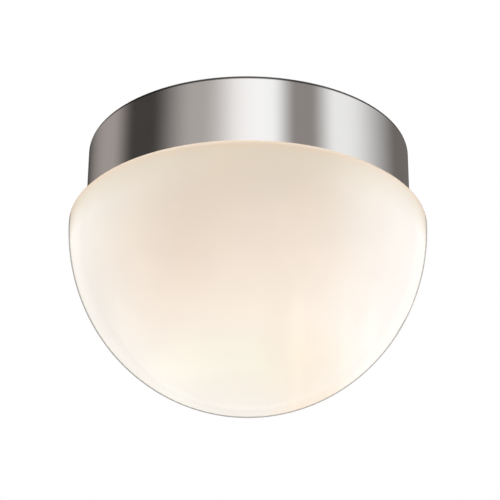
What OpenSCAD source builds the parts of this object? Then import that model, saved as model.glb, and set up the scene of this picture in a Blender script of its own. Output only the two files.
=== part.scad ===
// Flush ceiling light with a polished canopy ring and a blown opal glass shade.
// Z = 0 is the ceiling and the light hangs below it. All sizes are in millimetres.

/* [Canopy] */
// Distance from the widest line of the glass in to the canopy's face
canopy_inset = 11; // [8:0.5:14]
// Height of the canopy below the ceiling
canopy_h = 47.7; // [44:0.1:60]
// Thickness of the canopy sheet
canopy_sheet = 1; // [0.8:0.1:1.3]
// Outside radius of the canopy's top corner
canopy_corner_r = 2; // [1.6:0.2:3]
// Width of the rim that is folded in against the ceiling
canopy_rim_w = 10; // [9:0.5:11]
// Number of rivets that join the canopy to the pan
pan_rivet_count = 6; // [4:1:8]
// Shank radius of those rivets
pan_rivet_r = 1.6; // [1.2:0.1:1.8]

/* [Base pan] */
// Gap between the canopy's folded rim and the pan's dished wall
pan_gap = 1.6; // [1.2:0.1:2.4]
// Depth of the pan's underside below the ceiling
pan_depth = 14.8; // [13:0.2:17]
// Thickness of the pan sheet
pan_sheet = 0.8; // [0.6:0.1:1]
// Bend radius of the pan at the middle of its sheet
pan_bend_r = 1.4; // [1.2:0.1:2]
// Gap between the insulation pad and the pan's wall
pad_gap = 2.6; // [1:0.1:5]
// Gap between the hole in the pad and what stands inside it
pad_hole_gap = 3; // [2:0.5:8]
// Thickness of the insulation pad
pad_h = 9; // [6:0.5:10]

/* [Mounting strap] */
// Distance between the outlet box screws
box_spacing = 88.9; // [88:0.1:90]
// Half width of the outlet box slots
box_slot_r = 2.4; // [2.2:0.1:2.6]
// Length of each outlet box slot from end to end
box_slot_l = 10; // [8:0.5:11]
// Distance between the screws that carry the light
mount_spacing = 69.85; // [69:0.05:70]
// Shank radius of those screws
mount_screw_r = 2; // [1.6:0.1:2.1]
// Metal left beyond each outlet box slot
strap_end_w = 2.55; // [2:0.05:4]
// Width of the strap
strap_w = 18; // [15:1:20]
// Thickness of the strap
strap_t = 2; // [1.6:0.1:2.6]
// Radius of the wire hole in the middle of the strap
strap_hole_r = 5; // [4:0.5:6]
// Turn that locks the pan on its screws, in degrees
key_turn = 18; // [15:1:22]

/* [Wiring] */
// Gap between the lampholder's base and the wire grommet
grommet_gap = 1; // [0.5:0.5:3]
// Bore radius of the grommet
grommet_bore_r = 4.5; // [3.5:0.5:5]
// Gap between the grommet and the terminal block
block_gap = 2; // [1:0.5:3]
// Distance between the ways of the terminal block
block_pitch = 10; // [9.5:0.5:12]
// Depth of the terminal block along its ways
block_d = 18; // [17:0.5:19]
// Height of the terminal block
block_h = 14; // [13:0.5:15]
// Radius over the insulation of a lead
lead_r = 1.3; // [1:0.1:1.5]
// Radius of a lead's bare conductor
wire_r = 0.6; // [0.4:0.1:0.7]
// Radius of the bend that the leads leave the block with
lead_turn = 7; // [6:0.5:7.5]
// Distance from the axis to the earth screw
earth_y = 78; // [76:0.5:80]

/* [Lampholder] */
// Height of the porcelain below the pan
holder_h = 38; // [37:0.5:40]
// Radius of the porcelain base
holder_base_r = 25; // [24.5:0.5:26]
// Height of the porcelain base
holder_base_h = 7; // [6:0.5:8]
// Radius of the porcelain skirt
holder_skirt_r = 17; // [16:0.2:17.2]
// Inner radius of the screw shell
shell_r = 13.3; // [13.2:0.05:13.5]
// Thickness of the shell sheet
shell_sheet = 0.5; // [0.4:0.1:0.6]
// Depth of the cavity that takes the lamp cap
cavity_h = 29; // [28:0.5:30]
// Distance from the axis to the holder's fixing screws
holder_screw_x = 20.5; // [20.2:0.1:21]

/* [Reflector] */
// Gap between the reflector and the neck of the glass
reflector_gap = 5.5; // [3:0.5:12]
// Radius of the hole that clears the lampholder
reflector_hole_r = 20; // [19.5:0.5:24]
// Drop of the reflector below the pan
reflector_drop = 16.9; // [16:0.1:19]
// Thickness of the reflector sheet
reflector_sheet = 0.6; // [0.5:0.1:1]
// Height of the rim turned up round the reflector
reflector_rim_h = 5; // [3:0.5:6]
// Distance from the axis to the reflector studs
stud_x = 45; // [44:0.5:48]

/* [Glass shade] */
// Largest outer radius of the glass
glass_r = 120; // [117:1:140]
// Thickness of the glass
glass_wall = 3.5; // [2.5:0.1:4.5]
// Depth of the dome below its widest line
dome_h = 125.3; // [110:0.1:160]
// Height of the shoulder above the widest line
shoulder_rise = 9.9; // [8:0.1:16]
// Fillet radius between neck and shoulder
neck_fillet = 2.5; // [1.5:0.1:4]
// Width of the lip beyond the neck
lip_w = 3; // [2.5:0.1:3.5]
// Height of the lip's outer face
lip_h = 4.2; // [3.8:0.1:6]
// Gap between the canopy's lower edge and the glass
shade_gap = 0.5; // [0.4:0.1:2]

/* [Spring catches] */
// Number of spring catches
clip_count = 3; // [3:1:4]
// Width of a spring catch
clip_w = 14; // [12:0.5:16]
// Thickness of the spring steel
clip_sheet = 0.6; // [0.4:0.1:0.8]
// Distance from the pan's wall in to the middle of a catch's leg
clip_edge = 1.1; // [1:0.1:2]
// Distance from the lip out to the middle of a catch's leg
clip_reach = 4.3; // [4:0.1:5]
// Bend radius of a catch at the middle of its sheet
clip_bend_r = 1.5; // [1.2:0.1:1.8]
// Height of the flared tail below a catch's nose
clip_tail_h = 6.5; // [5:0.5:9]
// Height of the silicone bumper over the lip
bumper_h = 5; // [3:0.5:6]
// Distance from the outer face of the neck in to the catch rivets
clip_rivet_inset = 9; // [8.6:0.1:10]

/* [Lamp] */
// Largest radius of the lamp envelope
bulb_r = 30; // [26:0.5:32]
// Length of the lamp from its contact to its tip
lamp_l = 108; // [104:1:114]
// Radius over the lamp cap
cap_r = 13; // [12.9:0.05:13]
// Length of the lamp from its contact to the cap's open end
cap_l = 27; // [26:0.5:27.5]
// Radius of the envelope's neck
bulb_neck_r = 12.3; // [11.8:0.1:12.4]
// Thickness of the envelope
bulb_wall = 0.8; // [0.6:0.1:1.2]

/* [Hidden] */

$fn = 96;
arc_steps = 8;       // straight pieces in a rounded corner
dome_steps = 48;     // straight pieces in a quarter of the dome
cut = 1;             // how far a cutting shape runs past a face
fit = 0.1;           // clearance of a fixed piece in its hole
seat_gap = 0.3;      // gap between pieces that come apart
crease_r = 0.1;      // radius of a corner that is left nearly sharp
first_angle = 30;    // where the first catch and the first rim rivet stand

// Radii, from the glass in: the pan carries the catches and the catches hold the glass by its lip
canopy_r = glass_r - canopy_inset;
rim_in_r = canopy_r - canopy_rim_w;
pan_r = rim_in_r - pan_gap;
pad_r = pan_r - pan_sheet - pad_gap;
clip_leg_r = pan_r - clip_edge;
lip_r = clip_leg_r - clip_reach;
neck_r = lip_r - lip_w;
neck_in_r = neck_r - glass_wall;
reflector_r = neck_in_r - reflector_gap;
clip_rivet_x = neck_r - clip_rivet_inset;

// Levels, from the ceiling down
pan_under = -pan_depth;
pan_back = pan_under + pan_sheet;
clip_under = pan_under - clip_sheet;
lip_top = clip_under - bumper_h - seat_gap;
holder_mouth = pan_under - holder_h;
cavity_top = holder_mouth + cavity_h;
reflector_top = pan_under - reflector_drop;
reflector_under = reflector_top - reflector_sheet;

// The glass: its shoulder passes just under the canopy's lower edge
lip_round_in = 1.7;
lip_round_out = 2.5;
lip_round_under = 1;
neck_root_round = 1.5;
shoulder_in_r = neck_r + neck_fillet;
shoulder_out = glass_r - shoulder_in_r;
shoulder_fall = shoulder_rise * (1 - sqrt(1 - pow((canopy_r - shoulder_in_r) / shoulder_out, 2)));
shoulder_top = shoulder_fall - canopy_h - shade_gap;
equator = shoulder_top - shoulder_rise;

// The spring catches: the catch's slope lies along the lip's lower slope
clip_angles = [for (i = [0:clip_count - 1]) first_angle + i * 360 / clip_count];
clip_foot_l = 5;
clip_nose_r = neck_r + seat_gap;
clip_tail_in = 1.5;
clip_rivet_r = 1.5;
clip_rivet_side = 4;
bumper_x = (neck_in_r + lip_r) / 2;
bumper_w = 6;
bumper_stem_r = 1.2;
function slope_z(r) = lip_top - lip_h + r - lip_r - (seat_gap + clip_sheet / 2) * sqrt(2);

// Canopy rim and pan flange
pan_flange_gap = 0.5;
pan_flange_r = canopy_r - canopy_corner_r - pan_flange_gap;
pan_rivet_x = (rim_in_r + pan_flange_r) / 2;
rivet_head_r = 2.6;
rivet_head_h = 1;

// Strap and pan screws
strap_l = box_spacing + box_slot_l + 2 * strap_end_w;
mount_hole_r = mount_screw_r + fit;
mount_head_r = 4;
mount_head_h = 3;
key_slot_r = mount_screw_r + seat_gap;
key_hole_gap = 0.5;
key_hole_r = mount_head_r + key_hole_gap;
ground_screw_x = -18;
ground_screw_r = 2.2;
ground_head_r = 4.4;
ground_head_h = 2.4;

// Wiring
grommet_wall = 2.5;
grommet_hole_r = grommet_bore_r + grommet_wall;
grommet_flange_r = grommet_hole_r + 1;
grommet_flange_h = 1.6;
grommet_y = holder_base_r + grommet_gap + grommet_flange_r;
grommet_round = 0.7;
block_y = grommet_y + grommet_flange_r + block_gap + block_d / 2;
way_z = pan_under - block_h * 0.45;
way_xs = [-block_pitch, 0, block_pitch];
way_screw_side = 5;
insert_r = 2.5;
insert_bore_r = 1.5;
way_screw_r = 1.3;
way_head_r = 2;
way_head_h = 1.6;
fin_t = 1.6;
fin_reach = 2;
block_core_d = block_d - 2 * fin_reach;
block_screw_r = 1.3;
block_head_r = 2.5;
block_head_h = 1.8;
block_sink_h = 3.4;
block_head_z = pan_under - block_h + block_sink_h;
block_screw_xs = [-block_pitch / 2, block_pitch / 2];
block_out_y = block_y + block_d / 2;
pad_hole_r = max(strap_l / 2, block_y + block_screw_r) + pad_hole_gap;
screw_end = 2;
bare_l = 5;
wire_tip_y = block_y + 1;
earth_screw_r = 1.6;
earth_head_r = 3;
earth_head_h = 2;
earth_tag_r = 4;
earth_tag_t = 0.8;
earth_tip = pan_back + screw_end;
earth_tag_l = 8;
earth_barrel_y = earth_y - earth_tag_l;
earth_barrel_l = 4;
earth_barrel_r = 1.7;
earth_wire_z = pan_under - earth_barrel_r;

// Lampholder
holder_bore_r = shell_r + shell_sheet + fit;
holder_screw_r = 1.5;
holder_head_r = 2.9;
holder_head_h = 2;
holder_nut_r = 3.1;
holder_nut_h = 2.4;
terminal_angles = [45, 135];
terminal_t = 1;
terminal_w = 8;
terminal_root = 3;
terminal_reach = 9;
terminal_in = holder_base_r - terminal_root;
terminal_out = holder_base_r + terminal_reach;
terminal_top = pan_under - holder_base_h / 2;
terminal_under = terminal_top - terminal_t;
terminal_screw_out = 5;
terminal_screw_x = holder_base_r + terminal_screw_out;
terminal_screw_r = 1.5;
terminal_head_r = 3.2;
terminal_head_h = 1.8;
contact_sheet = 0.5;
contact_drop = 2.4;

// Reflector fixings
stud_r = 2;
spacer_r = 3.2;
stud_head_r = 3;
reflector_nut_r = 5;
reflector_nut_h = 5;

// Lamp
lamp_top = cavity_top - contact_drop - seat_gap;
lamp_tip = lamp_top - lamp_l;
cap_end = lamp_top - cap_l;
cap_sheet = 0.3;
cap_hole_r = 6.5;
cap_hole_h = 3;
cap_cone_h = 2.5;
cap_hole_z = lamp_top - cap_hole_h;
cap_shoulder_z = cap_hole_z - cap_cone_h;
contact_h = 1.2;
bulb_centre = lamp_tip + bulb_r;
bulb_blend = 20;
stem_r = 4;
stem_l = 24;
stem_sink = 0.5;
stem_top = cap_end - stem_sink;
stem_end = cap_end - stem_l;
filament_rise = 6;
filament_z = bulb_centre + filament_rise;
filament_x = 11;
filament_sag = 2;
support_r = 0.4;
support_x = 1.6;
stem_wall = 1;
stem_rim_h = 1.5;
stem_flare_l = 9;
stem_flare_z = stem_top - stem_flare_l;
stem_flare_r = 4;
stem_pinch_l = 6;
stem_pinch_z = stem_end + stem_pinch_l;
insulator_h = 4;
insulator_in = 2;
filament_r = 0.5;

// Unit vector along v
function unit(v) = v / norm(v);

// Points of a list from last to first
function backward(p) = [for (i = [len(p) - 1:-1:0]) p[i]];

// Arc about [x, y] with the half axes a and b, from one angle to another
function oval_arc(x, y, a, b, from, to, steps) =
    [for (i = [0:steps]) let (t = from + (to - from) * i / steps) [x + a * cos(t), y + b * sin(t)]];

// Arc that rounds corner p, which lies between a and b
function corner_arc(a, p, b, r) =
    let (
        u = unit(a - p),
        v = unit(b - p),
        half = acos(u * v) / 2,
        centre = p + unit(u + v) * r / sin(half),
        first = p + u * r / tan(half) - centre,
        last = p + v * r / tan(half) - centre,
        start = atan2(first[1], first[0]),
        turn = (atan2(last[1], last[0]) - start + 540) % 360 - 180
    )
    oval_arc(centre[0], centre[1], r, r, start, start + turn, arc_steps);

// Path through corners [x, y, radius], its inner corners rounded
function rounded_path(c) =
    let (
        p = [for (k = c) [k[0], k[1]]],
        n = len(c) - 1
    )
    concat([p[0]], [for (i = [1:n - 1]) each corner_arc(p[i - 1], p[i], p[i + 1], c[i][2])], [p[n]]);

// Path moved to its left by d
function beside(path, d) =
    let (n = len(path) - 1)
    [for (i = [0:n])
        let (
            ahead = unit(path[min(i + 1, n)] - path[min(i, n - 1)]),
            behind = unit(path[max(i, 1)] - path[max(i - 1, 0)]),
            middle = unit(ahead + behind)
        )
        path[i] + [-middle[1], middle[0]] * d / (middle * ahead)];

// Cubic curve from p to s, pulled towards q and r
function pulled_curve(p, q, r, s, steps) =
    [for (i = [0:steps])
        let (t = i / steps, u = 1 - t)
        p * u * u * u + 3 * q * u * u * t + 3 * r * u * t * t + s * t * t * t];

// Smooth run through the points p
function smooth_run(p, steps) =
    let (n = len(p) - 1)
    concat(
        [for (i = [0:n - 1], k = [0:steps - 1])
            let (
                t = k / steps,
                a = p[max(i - 1, 0)],
                b = p[i],
                c = p[i + 1],
                d = p[min(i + 2, n)]
            )
            (2 * b + (c - a) * t + (2 * a - 5 * b + 4 * c - d) * t * t
                + (3 * b - a - 3 * c + d) * t * t * t) / 2],
        [p[n]]
    );

// Section of a bent sheet, from the corners of its middle line
module sheet_section(corners, t) {
    middle = rounded_path(corners);
    polygon(concat(beside(middle, t / 2), backward(beside(middle, -t / 2))));
}

// Round tube along points, with one radius for each, kept upright against "side"
module tube(points, radii, side, sides = 8) {
    n = len(points) - 1;
    rings = [for (i = [0:n])
        let (
            along = unit(points[min(i + 1, n)] - points[max(i - 1, 0)]),
            across = unit(cross(side, along)),
            up = cross(along, across)
        )
        for (k = [0:sides - 1])
            points[i] + radii[i] * (across * cos(k * 360 / sides) + up * sin(k * 360 / sides))];
    walls = [for (i = [0:n - 1], k = [0:sides - 1])
        let (m = (k + 1) % sides)
        each [
            [i * sides + k, (i + 1) * sides + k, (i + 1) * sides + m],
            [i * sides + k, (i + 1) * sides + m, i * sides + m]
        ]];
    ends = [[for (k = [0:sides - 1]) k], [for (k = [sides - 1:-1:0]) n * sides + k]];
    polyhedron(points = rings, faces = concat(walls, ends));
}

// Copies of a shape turned round the light's axis
module around(angles) {
    for (a = angles) rotate(a) children();
}

// Copies of a shape at x and at -x
module both_sides(x) {
    for (side = [-1, 1]) translate([side * x, 0, 0]) children();
}

// Slotted screw seated at z = 0, with its shank up and its head down
module screw(shank_r, shank_l, head_r, head_h) {
    difference() {
        union() {
            cylinder(r = shank_r, h = shank_l);
            rotate_extrude() polygon(rounded_path([
                [0, 0], [head_r, 0, 0.1], [head_r, -head_h, head_h / 2], [0, -head_h]
            ]));
        }
        translate([-head_r - cut, -head_r / 8, -head_h - cut])
            cube([2 * head_r + 2 * cut, head_r / 4, head_h / 2 + cut]);
    }
}

// Rivet seated at z = 0, with its grip up and a head at both ends
module rivet(shank_r, grip) {
    translate([0, 0, -rivet_head_h]) cylinder(r = rivet_head_r, h = rivet_head_h);
    cylinder(r = shank_r, h = grip);
    translate([0, 0, grip]) cylinder(r = rivet_head_r, h = rivet_head_h);
}

// Places of the two rivets in each spring catch
module at_clip_rivets() {
    around(clip_angles) for (side = [-1, 1])
        translate([clip_rivet_x, side * clip_rivet_side, 0]) children();
}

// Places of the rivets in the canopy's rim
module at_pan_rivets() {
    around([for (i = [0:pan_rivet_count - 1]) first_angle + i * 360 / pan_rivet_count])
        translate([pan_rivet_x, 0, 0]) children();
}

// Drawn ring with its rim folded in against the ceiling
module canopy() {
    middle_r = canopy_r - canopy_sheet / 2;
    color([0.72, 0.7, 0.68]) difference() {
        rotate_extrude() sheet_section([
            [rim_in_r, -canopy_sheet / 2],
            [middle_r, -canopy_sheet / 2, canopy_corner_r - canopy_sheet / 2],
            [middle_r, -canopy_h]
        ], canopy_sheet);
        at_pan_rivets() pan_rivet_head(fit);
    }
}

// Flush head of a rim rivet, grown by a clearance
module pan_rivet_head(grow) {
    translate([0, 0, -canopy_sheet - grow])
        cylinder(
            r1 = pan_rivet_r + grow,
            r2 = pan_rivet_r + canopy_sheet + grow,
            h = canopy_sheet + grow
        );
}

// Dished pan with keyed slots that turn onto the mounting screws
module base_pan() {
    floor_z = pan_under + pan_sheet / 2;
    flange_z = -canopy_sheet - pan_sheet / 2;
    wall_r = pan_r - pan_sheet / 2;
    color([0.93, 0.93, 0.91]) difference() {
        rotate_extrude() sheet_section([
            [0, floor_z],
            [wall_r, floor_z, pan_bend_r],
            [wall_r, flange_z, pan_bend_r],
            [pan_flange_r, flange_z]
        ], pan_sheet);
        at_pan_rivets() through_pan(pan_rivet_r + fit, -canopy_sheet);
        at_clip_rivets() through_pan(clip_rivet_r + fit, pan_back);
        both_sides(holder_screw_x) through_pan(holder_screw_r + fit, pan_back);
        both_sides(stud_x) through_pan(stud_r + fit, pan_back);
        translate([0, grommet_y, 0]) through_pan(grommet_hole_r, pan_back);
        translate([0, earth_y, 0]) through_pan(earth_screw_r + fit, pan_back);
        for (x = block_screw_xs) translate([x, block_y, 0])
            through_pan(block_screw_r + fit, pan_back);
        around([0, 180]) key_slot();
    }
}

// Cutting cylinder down through the pan's sheet from the level "top"
module through_pan(r, top) {
    translate([0, 0, top - pan_sheet - cut]) cylinder(r = r, h = pan_sheet + 2 * cut);
}

// Curved slot that ends in a hole the screw head passes
module key_slot() {
    screw_x = mount_spacing / 2;
    translate([screw_x, 0, 0]) through_pan(key_slot_r, pan_back);
    rotate(key_turn) translate([screw_x, 0, 0]) through_pan(key_hole_r, pan_back);
    rotate_extrude(angle = key_turn)
        translate([screw_x - key_slot_r, pan_under - cut]) square([2 * key_slot_r, pan_sheet + 2 * cut]);
}

module pan_rivets() {
    head_z = -canopy_sheet - pan_sheet;
    color([0.8, 0.8, 0.78]) at_pan_rivets() {
        pan_rivet_head(0);
        translate([0, 0, head_z]) cylinder(r = pan_rivet_r, h = pan_sheet);
        translate([0, 0, head_z - rivet_head_h]) cylinder(r = rivet_head_r, h = rivet_head_h);
    }
}

// Glass-fibre blanket in the pan, dented by the fasteners under it
module insulation_pad() {
    color([0.95, 0.9, 0.6]) difference() {
        translate([0, 0, pan_back]) cylinder(r = pad_r, h = pad_h);
        translate([0, 0, pan_back - cut]) cylinder(r = pad_hole_r, h = pad_h + 2 * cut);
        at_clip_rivets() translate([0, 0, pan_back - cut])
            cylinder(r = rivet_head_r + seat_gap, h = cut + rivet_head_h + seat_gap);
        translate([0, earth_y, pan_back - cut])
            cylinder(r = earth_screw_r + seat_gap, h = cut + earth_tip - pan_back + seat_gap);
    }
}

module mounting_strap() {
    end_x = (strap_l - strap_w) / 2;
    slot_x = (box_slot_l - 2 * box_slot_r) / 2;
    color([0.75, 0.75, 0.72]) difference() {
        translate([0, 0, -strap_t]) union() {
            translate([-end_x, -strap_w / 2, 0]) cube([2 * end_x, strap_w, strap_t]);
            both_sides(end_x) cylinder(r = strap_w / 2, h = strap_t);
        }
        both_sides(box_spacing / 2) {
            both_sides(slot_x) through_strap(box_slot_r);
            translate([-slot_x, -box_slot_r, -strap_t - cut])
                cube([2 * slot_x, 2 * box_slot_r, strap_t + 2 * cut]);
        }
        both_sides(mount_spacing / 2) through_strap(mount_hole_r);
        translate([ground_screw_x, 0, 0]) through_strap(ground_screw_r + fit);
        through_strap(strap_hole_r);
    }
}

// Cutting cylinder down through the strap
module through_strap(r) {
    translate([0, 0, -strap_t - cut]) cylinder(r = r, h = strap_t + 2 * cut);
}

module mounting_screws() {
    color([0.85, 0.78, 0.5]) both_sides(mount_spacing / 2)
        translate([0, 0, pan_under]) screw(mount_screw_r, pan_depth - seat_gap, mount_head_r, mount_head_h);
}

module ground_screw() {
    color([0.2, 0.55, 0.25]) translate([ground_screw_x, 0, -strap_t])
        screw(ground_screw_r, strap_t - seat_gap, ground_head_r, ground_head_h);
}

// Rubber ring whose groove holds the edge of the pan's hole
module wire_grommet() {
    top = pan_back + grommet_flange_h;
    under = pan_under - grommet_flange_h;
    groove_r = grommet_hole_r - fit;
    color([0.12, 0.12, 0.12]) translate([0, grommet_y, 0]) rotate_extrude() polygon(rounded_path([
        [grommet_bore_r, (top + under) / 2],
        [grommet_bore_r, top, grommet_round],
        [grommet_flange_r, top, grommet_round],
        [grommet_flange_r, pan_back, crease_r],
        [groove_r, pan_back, crease_r],
        [groove_r, pan_under, crease_r],
        [grommet_flange_r, pan_under, crease_r],
        [grommet_flange_r, under, grommet_round],
        [grommet_bore_r, under, grommet_round],
        [grommet_bore_r, (top + under) / 2]
    ]));
}

// Moulded block with a fin between its ways
module terminal_block() {
    under = pan_under - block_h;
    fin_xs = [for (i = [-1.5:1:1.5]) i * block_pitch];
    color([0.9, 0.88, 0.82]) difference() {
        union() {
            translate([-1.5 * block_pitch, block_y - block_core_d / 2, under])
                cube([3 * block_pitch, block_core_d, block_h]);
            for (x = fin_xs) translate([x - fin_t / 2, block_y - block_d / 2, under])
                cube([fin_t, block_d, block_h]);
        }
        for (x = way_xs) translate([x, block_y, way_z]) rotate([90, 0, 0])
            cylinder(r = insert_r + fit, h = block_d + 2 * cut, center = true);
        at_way_screws() translate([0, 0, under - cut])
            cylinder(r = way_head_r + seat_gap, h = cut + way_z - under);
        for (x = block_screw_xs) translate([x, block_y, under - cut]) {
            cylinder(r = block_screw_r + fit, h = block_h + 2 * cut);
            cylinder(r = block_head_r + seat_gap, h = block_sink_h + cut);
        }
    }
}

// Places of the two screws in each way of the terminal block
module at_way_screws() {
    for (x = way_xs, side = [-1, 1]) translate([x, block_y + side * way_screw_side, 0]) children();
}

module terminal_inserts() {
    color([0.82, 0.68, 0.35]) difference() {
        for (x = way_xs) translate([x, block_y, way_z]) rotate([90, 0, 0]) difference() {
            cylinder(r = insert_r, h = block_core_d, center = true);
            cylinder(r = insert_bore_r, h = block_core_d + 2 * cut, center = true);
        }
        at_way_screws() translate([0, 0, way_z - insert_r - cut])
            cylinder(r = way_screw_r + fit, h = insert_r + cut);
    }
}

module terminal_screws() {
    head_z = way_z - insert_r;
    color([0.75, 0.75, 0.72]) at_way_screws() translate([0, 0, head_z])
        screw(way_screw_r, insert_r - wire_r - fit, way_head_r, way_head_h);
}

module terminal_block_screws() {
    color([0.75, 0.75, 0.72]) for (x = block_screw_xs) translate([x, block_y, block_head_z])
        screw(block_screw_r, pan_back - block_head_z + screw_end, block_head_r, block_head_h);
}

// Lead with bare ends: insulation covers it between the first and the last few points
module lead(points, bare) {
    run = smooth_run(points, 3);
    n = len(run) - 1;
    start = bare * 3;
    path = concat(
        [for (i = [0:start]) run[i]],
        [for (i = [start:n - start]) run[i]],
        [for (i = [n - start:n]) run[i]]
    );
    radii = concat(
        [for (i = [0:start]) wire_r],
        [for (i = [start:n - start]) lead_r],
        [for (i = [n - start:n]) wire_r]
    );
    tube(path, radii, [0, 0, 1]);
}

// Route from a way of the terminal block round to a lampholder terminal on the left
function lead_route() =
    let (
        a = terminal_angles[1],
        out = [cos(a), sin(a), 0],
        across = [-sin(a), cos(a), 0],
        beside_screw = terminal_screw_r + wire_r + fit,
        end_z = terminal_under - wire_r,
        x = -block_pitch,
        y = block_out_y + screw_end,
        t = lead_turn
    )
    [
        [x, wire_tip_y, way_z],
        [x, wire_tip_y + bare_l, way_z],
        [x, y, way_z],
        [x - 0.2 * t, y + 0.5 * t, way_z],
        [x - 0.86 * t, y + 0.74 * t, way_z],
        [x - 1.7 * t, y + 0.5 * t, way_z],
        [x - 2.4 * t, y - 0.3 * t, way_z],
        [x - 2.86 * t, y - 1.4 * t, way_z],
        [x - 2.93 * t, y - 2.86 * t, end_z],
        out * (terminal_out + bare_l) - across * beside_screw + [0, 0, end_z],
        out * (terminal_out + wire_r) - across * beside_screw + [0, 0, end_z],
        out * (terminal_screw_x + terminal_screw_r) - across * beside_screw + [0, 0, end_z],
        out * (terminal_screw_x - 2 * terminal_screw_r) - across * beside_screw + [0, 0, end_z]
    ];

module live_lead() {
    color([0.1, 0.1, 0.1]) lead(lead_route(), 2);
}

module neutral_lead() {
    color([0.92, 0.92, 0.9]) mirror([1, 0, 0]) lead(lead_route(), 2);
}

module earth_lead() {
    color([0.2, 0.6, 0.25]) lead([
        [0, wire_tip_y, way_z],
        [0, wire_tip_y + bare_l, way_z],
        [0, block_out_y + 1, way_z],
        [0, (block_out_y + earth_barrel_y) / 2, (way_z + earth_wire_z) / 2],
        [0, earth_barrel_y - lead_r, earth_wire_z],
        [0, earth_barrel_y + earth_barrel_l / 4, earth_wire_z],
        [0, earth_barrel_y + earth_barrel_l * 3 / 4, earth_wire_z]
    ], 2);
}

// Ring tag with a crimped barrel
module earth_tag() {
    color([0.8, 0.8, 0.76]) difference() {
        union() {
            translate([0, earth_y, pan_under - earth_tag_t]) cylinder(r = earth_tag_r, h = earth_tag_t);
            translate([-earth_barrel_r, earth_barrel_y, pan_under - earth_tag_t])
                cube([2 * earth_barrel_r, earth_y - earth_barrel_y, earth_tag_t]);
            translate([0, earth_barrel_y, earth_wire_z]) rotate([-90, 0, 0])
                cylinder(r = earth_barrel_r, h = earth_barrel_l);
        }
        translate([0, earth_barrel_y - cut, earth_wire_z]) rotate([-90, 0, 0])
            cylinder(r = wire_r + fit, h = earth_barrel_l + cut);
        translate([0, earth_y, pan_under - earth_tag_t - cut])
            cylinder(r = earth_screw_r + fit, h = earth_tag_t + 2 * cut);
    }
}

module earth_screw() {
    under = pan_under - earth_tag_t;
    color([0.2, 0.55, 0.25]) translate([0, earth_y, under])
        screw(earth_screw_r, earth_tip - under, earth_head_r, earth_head_h);
}

// Porcelain body: broad base, skirt with a bead at its mouth, blind cavity
module lampholder_body() {
    bead = 1.2;
    bead_h = 4;
    base_z = pan_under - holder_base_h;
    color([0.95, 0.95, 0.92]) difference() {
        rotate_extrude() polygon(rounded_path([
            [0, pan_under],
            [holder_base_r, pan_under, 0.5],
            [holder_base_r, base_z, 1.5],
            [holder_skirt_r, base_z, 0.5],
            [holder_skirt_r, holder_mouth + bead_h + 1, 1.5],
            [holder_skirt_r + bead, holder_mouth + bead_h, 0.8],
            [holder_skirt_r + bead, holder_mouth, 1],
            [holder_bore_r, holder_mouth, 0.5],
            [holder_bore_r, cavity_top, crease_r],
            [0, cavity_top]
        ]));
        both_sides(holder_screw_x) translate([0, 0, base_z - cut])
            cylinder(r = holder_screw_r + fit, h = holder_base_h + 2 * cut);
        around(terminal_angles) translate([terminal_in - fit, -terminal_w / 2 - fit, terminal_under - fit])
            cube([holder_base_r - terminal_in + cut, terminal_w + 2 * fit, terminal_t + 2 * fit]);
    }
}

module lampholder_shell() {
    middle_r = shell_r + shell_sheet / 2;
    hole_r = 9.5;
    mouth_gap = 1.2;
    color([0.82, 0.68, 0.35]) rotate_extrude() sheet_section([
        [hole_r, cavity_top - shell_sheet / 2],
        [middle_r, cavity_top - shell_sheet / 2, 0.8],
        [middle_r, holder_mouth + mouth_gap]
    ], shell_sheet);
}

// Leaf that the lamp's centre contact presses on
module lampholder_contact() {
    leaf_w = 6;
    leaf_x = 8.5;
    leaf_foot = 4;
    leaf_flat = 1.5;
    leaf_tip_x = 6;
    leaf_tip_drop = 0.6;
    leaf_z = cavity_top - contact_sheet / 2;
    crest_z = cavity_top - contact_drop + contact_sheet / 2;
    color([0.8, 0.6, 0.3]) rotate([90, 0, 0]) linear_extrude(leaf_w, center = true) sheet_section([
        [-leaf_x, leaf_z],
        [leaf_foot - leaf_x, leaf_z, 1],
        [-leaf_flat, crest_z, 1],
        [leaf_flat, crest_z, 1],
        [leaf_tip_x, leaf_z - leaf_tip_drop]
    ], contact_sheet);
}

module lampholder_terminals() {
    color([0.82, 0.68, 0.35]) around(terminal_angles) difference() {
        translate([terminal_in, -terminal_w / 2, terminal_under])
            cube([terminal_out - terminal_in, terminal_w, terminal_t]);
        translate([terminal_screw_x, 0, terminal_under - cut])
            cylinder(r = terminal_screw_r + fit, h = terminal_t + 2 * cut);
    }
}

module lampholder_terminal_screws() {
    head_z = terminal_under - 2 * wire_r;
    color([0.75, 0.75, 0.72]) around(terminal_angles) translate([terminal_screw_x, 0, head_z])
        screw(terminal_screw_r, terminal_top + screw_end - head_z, terminal_head_r, terminal_head_h);
}

// Screws down through the pan and the porcelain, with their heads on the pan's back
module lampholder_screws() {
    shank_l = pan_sheet + holder_base_h + holder_nut_h + 0.6;
    color([0.75, 0.75, 0.72]) both_sides(holder_screw_x) translate([0, 0, pan_back])
        mirror([0, 0, 1]) screw(holder_screw_r, shank_l, holder_head_r, holder_head_h);
}

module lampholder_nuts() {
    nut_z = pan_under - holder_base_h - holder_nut_h;
    color([0.75, 0.75, 0.72]) both_sides(holder_screw_x) translate([0, 0, nut_z]) difference() {
        rotate(30) cylinder(r = holder_nut_r, h = holder_nut_h, $fn = 6);
        translate([0, 0, -cut]) cylinder(r = holder_screw_r + fit, h = holder_nut_h + 2 * cut);
    }
}

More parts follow.
